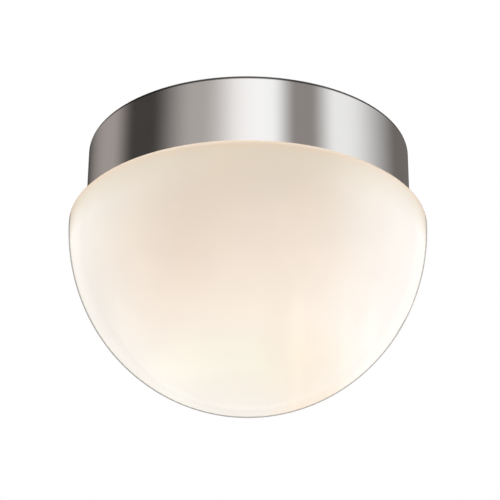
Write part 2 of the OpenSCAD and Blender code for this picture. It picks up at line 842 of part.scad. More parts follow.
// Shallow spun disc that throws the light down
module reflector() {
    middle_z = reflector_top - reflector_sheet / 2;
    collar_h = 3;
    color([0.97, 0.97, 0.96]) difference() {
        rotate_extrude() sheet_section([
            [reflector_hole_r, middle_z + collar_h],
            [reflector_hole_r, middle_z, 1],
            [reflector_r - reflector_sheet / 2, middle_z, 1.5],
            [reflector_r - reflector_sheet / 2, middle_z + reflector_rim_h]
        ], reflector_sheet);
        both_sides(stud_x) translate([0, 0, reflector_under - cut])
            cylinder(r = stud_r + fit, h = reflector_sheet + 2 * cut);
    }
}

// Spacer studs riveted into the pan, with a threaded lower end
module reflector_studs() {
    tail = reflector_nut_h + screw_end;
    color([0.8, 0.8, 0.78]) both_sides(stud_x) {
        translate([0, 0, pan_back]) cylinder(r = stud_head_r, h = rivet_head_h);
        translate([0, 0, pan_under]) cylinder(r = stud_r, h = pan_sheet);
        translate([0, 0, reflector_top]) cylinder(r = spacer_r, h = reflector_drop);
        translate([0, 0, reflector_under - tail]) cylinder(r = stud_r, h = reflector_sheet + tail);
    }
}

module reflector_nuts() {
    collar_h = 1.4;
    collar_r = reflector_nut_r - 1.2;
    color([0.82, 0.82, 0.8]) both_sides(stud_x) translate([0, 0, reflector_under]) difference() {
        union() {
            translate([0, 0, -collar_h]) cylinder(r = collar_r, h = collar_h);
            translate([0, 0, -reflector_nut_h])
                cylinder(r = reflector_nut_r, h = reflector_nut_h - collar_h);
        }
        translate([0, 0, -reflector_nut_h - cut]) cylinder(r = stud_r + fit, h = reflector_nut_h + 2 * cut);
    }
}

// Leaf springs: foot under the pan, leg, slope under the glass lip, flared tail
module shade_clips() {
    foot_z = pan_under - clip_sheet / 2;
    color([0.78, 0.78, 0.76]) around(clip_angles) difference() {
        rotate([90, 0, 0]) linear_extrude(clip_w, center = true) sheet_section([
            [clip_rivet_x - clip_foot_l, foot_z],
            [clip_leg_r, foot_z, clip_bend_r],
            [clip_leg_r, slope_z(clip_leg_r), clip_bend_r],
            [clip_nose_r, slope_z(clip_nose_r), clip_bend_r],
            [clip_leg_r - clip_tail_in, slope_z(clip_nose_r) - clip_tail_h]
        ], clip_sheet);
        for (side = [-1, 1]) translate([clip_rivet_x, side * clip_rivet_side, clip_under - cut])
            cylinder(r = clip_rivet_r + fit, h = clip_sheet + 2 * cut);
        translate([bumper_x, 0, clip_under - cut])
            cylinder(r = bumper_stem_r + fit, h = clip_sheet + 2 * cut);
    }
}

module clip_rivets() {
    color([0.8, 0.8, 0.78]) at_clip_rivets() translate([0, 0, clip_under])
        rivet(clip_rivet_r, clip_sheet + pan_sheet);
}

// Silicone pads over the glass lip, each with a stem in its catch's foot
module shade_bumpers() {
    color([0.88, 0.88, 0.86]) around(clip_angles) translate([bumper_x, 0, 0]) {
        translate([0, 0, clip_under - bumper_h]) {
            for (side = [-1, 1]) translate([0, side * bumper_w / 2, 0])
                cylinder(r = bumper_w / 2, h = bumper_h);
            translate([-bumper_w / 2, -bumper_w / 2, 0]) cube([bumper_w, bumper_w, bumper_h]);
        }
        translate([0, 0, clip_under]) cylinder(r = bumper_stem_r, h = clip_sheet);
    }
}

// The glass from its neck fillet down to the middle of the dome, drawn "inset" inside its outer face
function glass_line(inset) =
    let (
        fillet = neck_fillet + inset,
        fillet_z = shoulder_top + neck_fillet
    )
    concat(
        oval_arc(shoulder_in_r, fillet_z, fillet, fillet, 180, 270, arc_steps),
        oval_arc(shoulder_in_r, equator, shoulder_out - inset, shoulder_rise - inset, 90, 0, dome_steps / 2),
        oval_arc(0, equator, glass_r - inset, dome_h - inset, 0, -90, dome_steps)
    );

// Blown shade: rolled lip, neck, flat shoulder and deep dome
module glass_shade() {
    lip = rounded_path([
        [neck_in_r, lip_top - lip_h],
        [neck_in_r, lip_top, lip_round_in],
        [lip_r, lip_top, lip_round_out],
        [lip_r, lip_top - lip_h, lip_round_under],
        [neck_r, lip_top - lip_h - lip_w, neck_root_round],
        [neck_r, shoulder_top + neck_fillet + fit]
    ]);
    color([0.98, 0.94, 0.86]) rotate_extrude()
        polygon(concat(lip, glass_line(0), backward(glass_line(glass_wall))));
}

// The envelope from its open neck down to its tip, drawn "inset" inside its outer face
function bulb_line(inset) =
    let (
        neck = bulb_neck_r - inset,
        ball = bulb_r - inset,
        join = [ball * cos(bulb_blend), bulb_centre + ball * sin(bulb_blend)],
        along = [sin(bulb_blend), -cos(bulb_blend)],
        neck_in_cap = 8,
        neck_pull = 16,
        ball_pull = 14,
        blend_step = 4
    )
    concat(
        [[neck, cap_end + neck_in_cap]],
        pulled_curve([neck, cap_end], [neck, cap_end - neck_pull], join - ball_pull * along, join, 16),
        oval_arc(0, bulb_centre, ball, ball, bulb_blend - blend_step, -90, 24)
    );

// Frosted bulb, open at its neck inside the cap
module lamp_envelope() {
    color([0.96, 0.95, 0.92]) rotate_extrude() polygon(concat(bulb_line(0), backward(bulb_line(bulb_wall))));
}

module lamp_cap() {
    middle_r = cap_r - cap_sheet / 2;
    color([0.8, 0.8, 0.78]) rotate_extrude() sheet_section([
        [cap_hole_r, cap_hole_z],
        [middle_r, cap_shoulder_z, 1.5],
        [middle_r, cap_end]
    ], cap_sheet);
}

// Black glass button that closes the top of the cap
module lamp_insulator() {
    gap = cap_sheet / 2 + fit;
    body_r = cap_r - insulator_in;
    color([0.1, 0.1, 0.12]) rotate_extrude() polygon([
        [0, lamp_top - contact_h],
        [cap_hole_r - insulator_in / 2, lamp_top - contact_h],
        [cap_hole_r - gap - fit, cap_hole_z - gap],
        [body_r, cap_shoulder_z - 2 * gap],
        [body_r, cap_shoulder_z - insulator_h],
        [0, cap_shoulder_z - insulator_h]
    ]);
}

module lamp_contact() {
    contact_r = 4;
    color([0.75, 0.75, 0.76]) rotate_extrude() polygon(rounded_path([
        [0, lamp_top],
        [contact_r, lamp_top, 0.9],
        [contact_r, lamp_top - contact_h, crease_r],
        [0, lamp_top - contact_h]
    ]));
}

// Flared glass tube that carries the filament's supports
module lamp_stem() {
    rim_r = bulb_neck_r - bulb_wall - fit;
    color([0.9, 0.93, 0.93]) rotate_extrude() polygon(rounded_path([
        [rim_r - stem_wall, stem_top],
        [rim_r, stem_top, crease_r],
        [rim_r, stem_top - stem_rim_h, stem_wall],
        [stem_r, stem_flare_z, stem_flare_r],
        [stem_r, stem_end, stem_wall],
        [0, stem_end, crease_r],
        [0, stem_pinch_z, crease_r],
        [stem_r - stem_wall, stem_pinch_z, stem_wall],
        [stem_r - stem_wall, stem_flare_z, stem_flare_r],
        [rim_r - stem_wall, stem_top]
    ]));
}

module lamp_wires() {
    color([0.6, 0.6, 0.6]) for (side = [-1, 1]) {
        run = smooth_run([
            [side * support_x, 0, stem_end],
            [side * support_x, 0, stem_end - support_x / 2],
            [side * support_x, 0, stem_end - support_x],
            [side * filament_x * 0.6, 0, (stem_end + filament_z) / 2],
            [side * filament_x, 0, filament_z + filament_sag],
            [side * filament_x, 0, filament_z]
        ], 4);
        tube(run, [for (p = run) support_r], [0, 1, 0]);
    }
}

module lamp_filament() {
    reach = filament_x - support_r - fit / 2;
    half = 6;
    run = [for (i = [-half:half])
        [reach * i / half, 0, filament_z + filament_sag * (0.75 - pow(i / half, 2))]];
    color([0.3, 0.3, 0.3]) tube(run, [for (p = run) filament_r], [0, 1, 0]);
}

canopy();
base_pan();
pan_rivets();
insulation_pad();
mounting_strap();
mounting_screws();
ground_screw();
wire_grommet();
terminal_block();
terminal_inserts();
terminal_screws();
terminal_block_screws();
live_lead();
neutral_lead();
earth_lead();
earth_tag();
earth_screw();
lampholder_body();
lampholder_shell();
lampholder_contact();
lampholder_terminals();
lampholder_terminal_screws();
lampholder_screws();
lampholder_nuts();
reflector();
reflector_studs();
reflector_nuts();
shade_clips();
clip_rivets();
shade_bumpers();
glass_shade();
lamp_envelope();
lamp_cap();
lamp_insulator();
lamp_contact();
lamp_stem();
lamp_wires();
lamp_filament();
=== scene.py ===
import math

import bmesh
import bpy
from mathutils import Matrix, Vector


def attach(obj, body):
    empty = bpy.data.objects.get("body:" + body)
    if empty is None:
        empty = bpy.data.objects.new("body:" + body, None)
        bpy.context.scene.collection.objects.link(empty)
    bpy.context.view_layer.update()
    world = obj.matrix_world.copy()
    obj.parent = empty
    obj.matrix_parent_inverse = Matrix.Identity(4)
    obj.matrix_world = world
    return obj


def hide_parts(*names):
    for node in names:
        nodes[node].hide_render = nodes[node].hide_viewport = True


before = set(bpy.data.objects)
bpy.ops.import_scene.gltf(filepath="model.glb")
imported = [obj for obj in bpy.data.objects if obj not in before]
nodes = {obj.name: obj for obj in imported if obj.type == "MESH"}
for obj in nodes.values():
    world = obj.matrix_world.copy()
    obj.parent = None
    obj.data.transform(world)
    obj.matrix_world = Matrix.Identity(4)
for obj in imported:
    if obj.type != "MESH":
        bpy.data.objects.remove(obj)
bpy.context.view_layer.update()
bpy.ops.object.select_all(action="DESELECT")
print("frame loaded:", len(nodes), "nodes")


# Camera: below the light and a little over a metre off, looking up at it
camera = {
    "eye": (0.0, -1.0740, -0.5960),
    "aim": (0.0015, 0.0, -0.0696),
    "lens": 128.7,
    "roll": 0.0070,  # the print leans by under half a degree
}
bpy.ops.object.camera_add(location=camera["eye"])
cameraObject = bpy.context.active_object
cameraObject.name = "photoCamera"
lookAlong = Vector(camera["aim"]) - Vector(camera["eye"])
turn = lookAlong.to_track_quat("-Z", "Y").to_matrix() @ Matrix.Rotation(camera["roll"], 3, "Z")
cameraObject.rotation_euler = turn.to_euler()
cameraObject.data.lens = camera["lens"]
cameraObject.data.sensor_width = 36
cameraObject.data.clip_start = 0.05
cameraObject.data.clip_end = 50
bpy.context.scene.camera = cameraObject
bpy.context.scene.view_settings.view_transform = "Standard"


def linear(hexColour):
    parts = [int(hexColour[i:i + 2], 16) / 255 for i in (1, 3, 5)]
    bent = [p / 12.92 if p <= 0.04045 else ((p + 0.055) / 1.055) ** 2.4 for p in parts]
    return (*bent, 1.0)


def setInputs(node, inputs):  # numbers and colours go on its own sockets, other nodes' outputs get links
    for name, value in inputs.items():
        if isinstance(value, bpy.types.NodeSocket):
            node.id_data.links.new(value, node.inputs[name])
        else:
            node.inputs[name].default_value = value


def addNode(tree, kind, inputs=None, **settings):
    made = tree.nodes.new(kind)
    for name, value in settings.items():
        setattr(made, name, value)
    setInputs(made, inputs or {})
    return made


# Studio: what the polished metal and the glass have round them
studio = {
    "background": "#FFFFFF",
    "darkRoom": 0.056,  # between the panels
    "darkTint": (1.0, 0.90, 0.84),  # of red, green and blue
    "zenith": 0.95,  # ceiling over the set
    "zenithFrom": 0.72,  # by how steeply a ray goes up
    "zenithTo": 0.95,
    "panels": [  # by degrees round from the camera's side towards +X
        {"name": "leftWall", "riseFrom": -174, "fullFrom": -119, "fullTo": -113, "goneBy": -88,
         "level": 0.315, "colour": "#FFF3EC"},
        {"name": "leftFill", "riseFrom": -73, "fullFrom": -38, "fullTo": -14, "goneBy": 17,
         "level": 0.385, "colour": "#FFF7F2"},
        {"name": "frontBox", "riseFrom": -35, "fullFrom": 15, "fullTo": 15, "goneBy": 34,
         "level": 0.965, "colour": "#FFFFFF"},
        {"name": "dimCurtain", "riseFrom": 15, "fullFrom": 35, "fullTo": 45, "goneBy": 63,
         "level": 0.225, "colour": "#FFF6F0"},
        {"name": "rightWindow", "riseFrom": 44, "fullFrom": 64, "fullTo": 70, "goneBy": 131,
         "level": 0.87, "colour": "#FFFFFE"},
        {"name": "backWall", "riseFrom": 90, "fullFrom": 122, "fullTo": 176, "goneBy": 180,
         "level": 0.11, "colour": "#FFF3EC"},
    ],
    "fillLevel": 0.42,  # even light on what isn't polished
    "fillColour": "#FFFDFA",
    "floorDrop": 1.9,
    "floorSide": 14,
    "floorColour": "#EDECEA",
    # the floor's own pale level, so that it stays light behind the object and keeps its shadow
    "floorLift": 0.38,
    "lampsAimAt": (0, 0, -0.08),
}

world = bpy.data.worlds.new("studioWorld")
bpy.context.scene.world = world
world.use_nodes = True
tree = world.node_tree
tree.nodes.clear()
where = addNode(tree, "ShaderNodeTexCoord")
parts = addNode(tree, "ShaderNodeSeparateXYZ", {"Vector": where.outputs["Generated"]})
nearSide = addNode(tree, "ShaderNodeMath", {0: parts.outputs["Y"], 1: -1.0}, operation="MULTIPLY")
angle = addNode(tree, "ShaderNodeMath", {0: parts.outputs["X"], 1: nearSide.outputs[0]}, operation="ARCTAN2")
degrees = addNode(tree, "ShaderNodeMath", {0: angle.outputs[0], 1: 180 / math.pi}, operation="MULTIPLY")
darkTone = {i: studio["darkRoom"] * share for i, share in enumerate(studio["darkTint"])}
glow = addNode(tree, "ShaderNodeCombineColor", darkTone).outputs[0]
for panel in studio["panels"]:
    rise = addNode(tree, "ShaderNodeMapRange", {
        "Value": degrees.outputs[0], "From Min": panel["riseFrom"], "From Max": panel["fullFrom"],
    }, interpolation_type="SMOOTHSTEP")
    fall = addNode(tree, "ShaderNodeMapRange", {
        "Value": degrees.outputs[0], "From Min": panel["goneBy"], "From Max": panel["fullTo"],
    }, interpolation_type="SMOOTHSTEP")
    both = addNode(tree, "ShaderNodeMath", {0: rise.outputs[0], 1: fall.outputs[0]}, operation="MULTIPLY")
    strength = addNode(tree, "ShaderNodeMath", {
        0: both.outputs[0], 1: panel["level"],
    }, operation="MULTIPLY")
    lit = addNode(tree, "ShaderNodeMix", {
        0: 1.0, 6: linear(panel["colour"]), 7: strength.outputs[0],
    }, data_type="RGBA", blend_type="MULTIPLY", label=panel["name"])
    total = addNode(tree, "ShaderNodeMix", {
        0: 1.0, 6: glow, 7: lit.outputs[2],
    }, data_type="RGBA", blend_type="ADD")
    glow = total.outputs[2]
overhead = addNode(tree, "ShaderNodeMapRange", {
    "Value": parts.outputs["Z"], "From Min": studio["zenithFrom"], "From Max": studio["zenithTo"],
}, interpolation_type="SMOOTHSTEP")
ceiling = studio["zenith"]
surround = addNode(tree, "ShaderNodeMix", {
    0: overhead.outputs[0], 6: glow, 7: (ceiling, ceiling, ceiling, 1),
}, data_type="RGBA")
rays = addNode(tree, "ShaderNodeLightPath")
evenLight = addNode(tree, "ShaderNodeBackground", {
    "Color": linear(studio["fillColour"]), "Strength": studio["fillLevel"],
})
studioLight = addNode(tree, "ShaderNodeBackground", {"Color": surround.outputs[2], "Strength": 1.0})
whiteLight = addNode(tree, "ShaderNodeBackground", {"Color": linear(studio["background"]), "Strength": 1.0})
polished = addNode(tree, "ShaderNodeMixShader", {
    0: rays.outputs["Is Glossy Ray"], 1: evenLight.outputs[0], 2: studioLight.outputs[0],
})
seen = addNode(tree, "ShaderNodeMath", {
    0: rays.outputs["Is Camera Ray"], 1: rays.outputs["Is Transmission Ray"],
}, operation="MAXIMUM")
behind = addNode(tree, "ShaderNodeMixShader", {
    0: seen.outputs[0], 1: polished.outputs[0], 2: whiteLight.outputs[0],
})
addNode(tree, "ShaderNodeOutputWorld", {"Surface": behind.outputs[0]})

lamps = [
    {"name": "keyLamp", "place": (-0.5, -1.9, 0.9), "size": 1.4, "watts": 12},
    {"name": "leftStrip", "place": (-1.7, 0.25, -0.25), "size": 1.2, "watts": 12},
    {"name": "rightStrip", "place": (1.7, 0.15, -0.25), "size": 1.2, "watts": 22},
    {"name": "topBox", "place": (-0.5, -0.6, 2.0), "size": 1.6, "watts": 19},
    {"name": "floorWash", "place": (0.0, -0.3, -1.7), "size": 1.6, "watts": 5},
]
for lamp in lamps:
    bpy.ops.object.light_add(type="AREA", location=lamp["place"])
    lampObject = bpy.context.active_object
    lampObject.name = lamp["name"]
    lampObject.data.energy = lamp["watts"]
    lampObject.data.size = lamp["size"]
    beam = Vector(studio["lampsAimAt"]) - Vector(lamp["place"])
    lampObject.rotation_euler = beam.to_track_quat("-Z", "Y").to_euler()
    lampObject.visible_glossy = False  # the panels are what the metal shows

bpy.ops.mesh.primitive_plane_add(size=studio["floorSide"], location=(0, 0, -studio["floorDrop"]))
floor = bpy.context.active_object
floor.name = "studioFloor"
floorPaint = bpy.data.materials.new("mattFloorPaint")
floorPaint.use_nodes = True
tree = floorPaint.node_tree
rays = addNode(tree, "ShaderNodeLightPath")
seen = addNode(tree, "ShaderNodeMath", {
    0: rays.outputs["Is Camera Ray"], 1: rays.outputs["Is Glossy Ray"],
}, operation="MAXIMUM")
through = addNode(tree, "ShaderNodeMath", {
    0: seen.outputs[0], 1: rays.outputs["Is Transmission Ray"],
}, operation="MAXIMUM")
lift = addNode(tree, "ShaderNodeMath", {
    0: through.outputs[0], 1: studio["floorLift"],
}, operation="MULTIPLY")
setInputs(tree.nodes["Principled BSDF"], {
    "Base Color": linear(studio["floorColour"]),
    "Roughness": 0.8,
    "Emission Color": linear(studio["floorColour"]),
    "Emission Strength": lift.outputs[0],
})
floor.data.materials.append(floorPaint)
print("camera, studio and floor made")


finishes = {}  # by the record's slots
noiseLow = 0.3  # nearly all of a noise texture lies between these two
noiseHigh = 0.7


def finish(slot, name):  # a new material for the slot: its nodes, its shader and the place on the object
    made = bpy.data.materials.new(name)
    made.use_nodes = True
    finishes[slot] = made
    tree = made.node_tree
    place = addNode(tree, "ShaderNodeTexCoord").outputs["Object"]
    return tree, tree.nodes["Principled BSDF"], place


# Bright nickel plate on drawn steel, buffed: a mirror with a faint haze left by the mop
nickelPlate = {
    "colour": "#EFEFEF",
    "smoothest": 0.07,
    "dullest": 0.115,
    "hazeMm": 22,
    "edge": "#545250",  # painted shade: the top edge against the ceiling is drawn dark grey, for the dark that the turned edge reflects there
    "shadeLineFromMm": 2.76,  # below the ceiling
    "shadeLineFullMm": 2.07,
    "rimFromMm": 107.6,  # from the axis
    "rimFullMm": 108.1,
}
tree, shader, place = finish("polished_nickel", "buffedNickelPlate")
haze = addNode(tree, "ShaderNodeTexNoise", {
    "Vector": place, "Scale": 1000 / nickelPlate["hazeMm"], "Detail": 3.0,
})
rough = addNode(tree, "ShaderNodeMapRange", {
    "Value": haze.outputs["Fac"], "From Min": noiseLow, "From Max": noiseHigh,
    "To Min": nickelPlate["smoothest"], "To Max": nickelPlate["dullest"],
})
# painted shade line: dark grey only close under the ceiling and at the outer rim
parts = addNode(tree, "ShaderNodeSeparateXYZ", {"Vector": place})
high = addNode(tree, "ShaderNodeMapRange", {
    "Value": parts.outputs["Z"],
    "From Min": -nickelPlate["shadeLineFromMm"] / 1000, "From Max": -nickelPlate["shadeLineFullMm"] / 1000,
})
flat = addNode(tree, "ShaderNodeCombineXYZ", {"X": parts.outputs["X"], "Y": parts.outputs["Y"]})
out = addNode(tree, "ShaderNodeVectorMath", {0: flat.outputs[0]}, operation="LENGTH")
outer = addNode(tree, "ShaderNodeMapRange", {
    "Value": out.outputs["Value"],
    "From Min": nickelPlate["rimFromMm"] / 1000, "From Max": nickelPlate["rimFullMm"] / 1000,
})
edge = addNode(tree, "ShaderNodeMath", {0: high.outputs[0], 1: outer.outputs[0]}, operation="MULTIPLY")
plate = addNode(tree, "ShaderNodeMix", {
    0: edge.outputs[0], 6: linear(nickelPlate["colour"]), 7: linear(nickelPlate["edge"]),
}, data_type="RGBA")
setInputs(shader, {"Base Color": plate.outputs[2], "Roughness": rough.outputs[0], "Metallic": 1.0})

# Opal glass cased in clear, fire polished: milky body, gloss skin, the lamp's warmth showing through it
opal = {
    "body": "#C7C7C6",
    "roughness": 0.12,
    "heights": (-0.0461, -0.1813),
    "glow": [  # down the shade: where, and the warmth that comes through there
        (0.00, "#97733F"), (0.068, "#97733F"),  # bare neck and shoulder turn, lit straight by the lamp
        (0.105, "#917A50"),  # shadow of the canopy's edge
        (0.24, "#99805F"),
        (0.54, "#A98D70"),
        (0.78, "#B59E85"),
        (0.94, "#B5AD8E"),
        (1.00, "#B79E81"),
    ],
    "paintedEdgeReflection": "#ADA8A0",  # painted reflection: whiter where the clear casing is seen edge on, for the white surroundings that it would reflect
    "edgeFrom": 0.08,
    "edgeTo": 0.75,
    "casingFrom": 0.07,  # down the shade, as in the glow
    "casingTo": 0.22,
    "cloudMm": 42,
    "cloud": 0.05,
    "streakReach": (1.2, 0.1),  # where a streak begins and is full, in its half widths
    "streaks": [  # painted lamp light: lighter streaks low on the glass, straight through from front to back
        {"x": 0.031, "z": -0.156, "halfWide": 0.006, "halfTall": 0.026, "gain": 0.10},
        {"x": 0.062, "z": -0.150, "halfWide": 0.005, "halfTall": 0.026, "gain": 0.05},
        {"x": 0.079, "z": -0.146, "halfWide": 0.005, "halfTall": 0.024, "gain": 0.05},
        {"x": -0.042, "z": -0.168, "halfWide": 0.034, "halfTall": 0.014, "gain": 0.09},
    ],
    "tintReach": (1.3, 0.2),  # the same for the tints
    "tints": [  # painted light: paler by the lamp and low on the left, warmer low on the right, and a cooler painted highlight up the right where the side light falls
        {"x": 0.014, "z": -0.132, "halfWide": 0.055, "halfTall": 0.050, "share": 0.17, "colour": "#D8D2C8"},
        {"x": -0.022, "z": -0.160, "halfWide": 0.040, "halfTall": 0.024, "share": 0.14, "colour": "#D8D2C8"},
        {"x": 0.046, "z": -0.171, "halfWide": 0.038, "halfTall": 0.020, "share": 0.42, "colour": "#AE8955"},
        {"x": 0.090, "z": -0.125, "halfWide": 0.048, "halfTall": 0.075, "share": 0.36, "colour": "#A7A09D"},
    ],
    "limbFrom": 0.62,  # painted highlight: the glow is made stronger towards the outline, for the side light on the casing
    "limbTo": 0.88,
    "paintedLimbHighlight": 0.45,
    "rimFrom": 0.865,  # and ends in a painted thin grey line, for the dark that the casing reflects edge on
    "rimTo": 0.905,
    "paintedOutlineShade": 0.8,
}


def softOval(patch, reach, amount):  # nothing outside the oval, the whole amount in its middle
    wide, tall = patch["halfWide"], patch["halfTall"]
    spot = addNode(tree, "ShaderNodeMapping", {
        "Vector": place,
        "Location": (-patch["x"] / wide, 0, -patch["z"] / tall),
        "Scale": (1 / wide, 0, 1 / tall),
    })
    away = addNode(tree, "ShaderNodeVectorMath", {0: spot.outputs[0]}, operation="LENGTH")
    soft = addNode(tree, "ShaderNodeMapRange", {
        "Value": away.outputs["Value"], "From Min": reach[0], "From Max": reach[1],
        "To Min": 0.0, "To Max": amount,
    }, interpolation_type="SMOOTHSTEP")
    return soft.outputs[0]


tree, shader, place = finish("opal_glass", "casedOpalGlass")
parts = addNode(tree, "ShaderNodeSeparateXYZ", {"Vector": place})
down = addNode(tree, "ShaderNodeMapRange", {
    "Value": parts.outputs["Z"], "From Min": opal["heights"][0], "From Max": opal["heights"][1],
})
ramp = addNode(tree, "ShaderNodeValToRGB", {"Fac": down.outputs[0]})
ramp.color_ramp.elements.remove(ramp.color_ramp.elements[1])
for at, colour in opal["glow"]:
    stop = ramp.color_ramp.elements[0] if at == 0 else ramp.color_ramp.elements.new(at)
    stop.position = at
    stop.color = linear(colour)
facing = addNode(tree, "ShaderNodeLayerWeight", {"Blend": 0.5})
edge = addNode(tree, "ShaderNodeMapRange", {
    "Value": facing.outputs["Facing"], "From Min": opal["edgeFrom"], "From Max": opal["edgeTo"],
})
below = addNode(tree, "ShaderNodeMapRange", {
    "Value": down.outputs[0], "From Min": opal["casingFrom"], "From Max": opal["casingTo"],
})
# where the painted reflection shows: edge on, and away from the top of the shade
edgeReflectionMask = addNode(tree, "ShaderNodeMath", {0: edge.outputs[0], 1: below.outputs[0]}, operation="MULTIPLY")
warmth = addNode(tree, "ShaderNodeMix", {
    0: edgeReflectionMask.outputs[0], 6: ramp.outputs[0], 7: linear(opal["paintedEdgeReflection"]),
}, data_type="RGBA")
# painted light patches mixed into the glow's colour
for tint in opal["tints"]:
    warmth = addNode(tree, "ShaderNodeMix", {
        0: softOval(tint, opal["tintReach"], tint["share"]),
        6: warmth.outputs[2],
        7: linear(tint["colour"]),
    }, data_type="RGBA")
clouds = addNode(tree, "ShaderNodeTexNoise", {
    "Vector": place, "Scale": 1000 / opal["cloudMm"], "Detail": 2.0,
})
cloud = addNode(tree, "ShaderNodeMapRange", {
    "Value": clouds.outputs["Fac"], "From Min": noiseLow, "From Max": noiseHigh,
    "To Min": 1 - opal["cloud"], "To Max": 1 + opal["cloud"],
})
strength = cloud.outputs[0]
# painted streaks of lamp light add to the glow's strength
for streak in opal["streaks"]:
    lighter = softOval(streak, opal["streakReach"], streak["gain"])
    strength = addNode(tree, "ShaderNodeMath", {0: strength, 1: lighter}, operation="ADD").outputs[0]
# painted highlight: the glow grows towards the outline
limbHighlight = addNode(tree, "ShaderNodeMapRange", {
    "Value": facing.outputs["Facing"], "From Min": opal["limbFrom"], "From Max": opal["limbTo"],
    "To Min": 0.0, "To Max": opal["paintedLimbHighlight"],
})
limbHighlight = addNode(tree, "ShaderNodeMath", {
    0: limbHighlight.outputs[0], 1: below.outputs[0], 2: 1.0,
}, operation="MULTIPLY_ADD")
strength = addNode(tree, "ShaderNodeMath", {0: strength, 1: limbHighlight.outputs[0]}, operation="MULTIPLY").outputs[0]
# painted shade: the glow dims in a thin line at the outline
outlineShade = addNode(tree, "ShaderNodeMapRange", {
    "Value": facing.outputs["Facing"], "From Min": opal["rimFrom"], "From Max": opal["rimTo"],
    "To Min": 1.0, "To Max": 1 - opal["paintedOutlineShade"],
}, interpolation_type="SMOOTHSTEP")
strength = addNode(tree, "ShaderNodeMath", {0: strength, 1: outlineShade.outputs[0]}, operation="MULTIPLY").outputs[0]
setInputs(shader, {
    "Base Color": linear(opal["body"]),
    "Roughness": opal["roughness"],
    "IOR": 1.5,
    "Specular IOR Level": 0.3,
    "Emission Color": warmth.outputs[2],
    "Emission Strength": strength,
})

# Baked enamel on steel, sprayed: near white, soft gloss, with the spray's fine orange peel
enamel = {
    "colour": "#EFEDE7",
    "shade": "#E3E0D8",
    "driftMm": 60,
    "peelMm": 1.8,
    "peelShown": 0.12,
    "peelDepth": 0.0002,
}
tree, shader, place = finish("white_enamel", "bakedWhiteEnamel")
drift = addNode(tree, "ShaderNodeTexNoise", {
    "Vector": place, "Scale": 1000 / enamel["driftMm"], "Detail": 2.0,
})
tint = addNode(tree, "ShaderNodeValToRGB", {"Fac": drift.outputs["Fac"]})
tint.color_ramp.elements[0].color = linear(enamel["shade"])
tint.color_ramp.elements[0].position = noiseLow
tint.color_ramp.elements[1].color = linear(enamel["colour"])
tint.color_ramp.elements[1].position = noiseHigh
peel = addNode(tree, "ShaderNodeTexNoise", {"Vector": place, "Scale": 1000 / enamel["peelMm"], "Detail": 1.0})
bump = addNode(tree, "ShaderNodeBump", {
    "Height": peel.outputs["Fac"], "Strength": enamel["peelShown"], "Distance": enamel["peelDepth"],
})
setInputs(shader, {
    "Base Color": tint.outputs[0],
    "Roughness": 0.34,
    "Normal": bump.outputs[0],
    "Coat Weight": 0.3,
    "Coat Roughness": 0.15,
})

reliefHeight = 0.0001  # a tenth of a millimetre


def layTones(item, toneBy, reliefBy, tones, roughness, relief):  # two tones, roughness and relief from noise
    tone = addNode(tree, "ShaderNodeValToRGB", {"Fac": toneBy})
    tone.color_ramp.elements[0].position = tones[0]
    tone.color_ramp.elements[0].color = linear(item["dark"])
    tone.color_ramp.elements[1].position = tones[1]
    tone.color_ramp.elements[1].color = linear(item["light"])
    rough = addNode(tree, "ShaderNodeMapRange", {
        "Value": reliefBy, "From Min": noiseLow, "From Max": noiseHigh,
        "To Min": roughness[0], "To Max": roughness[1],
    })
    bump = addNode(tree, "ShaderNodeBump", {"Height": reliefBy, "Strength": relief, "Distance": reliefHeight})
    setInputs(shader, {
        "Base Color": tone.outputs[0], "Roughness": rough.outputs[0], "Normal": bump.outputs[0],
    })


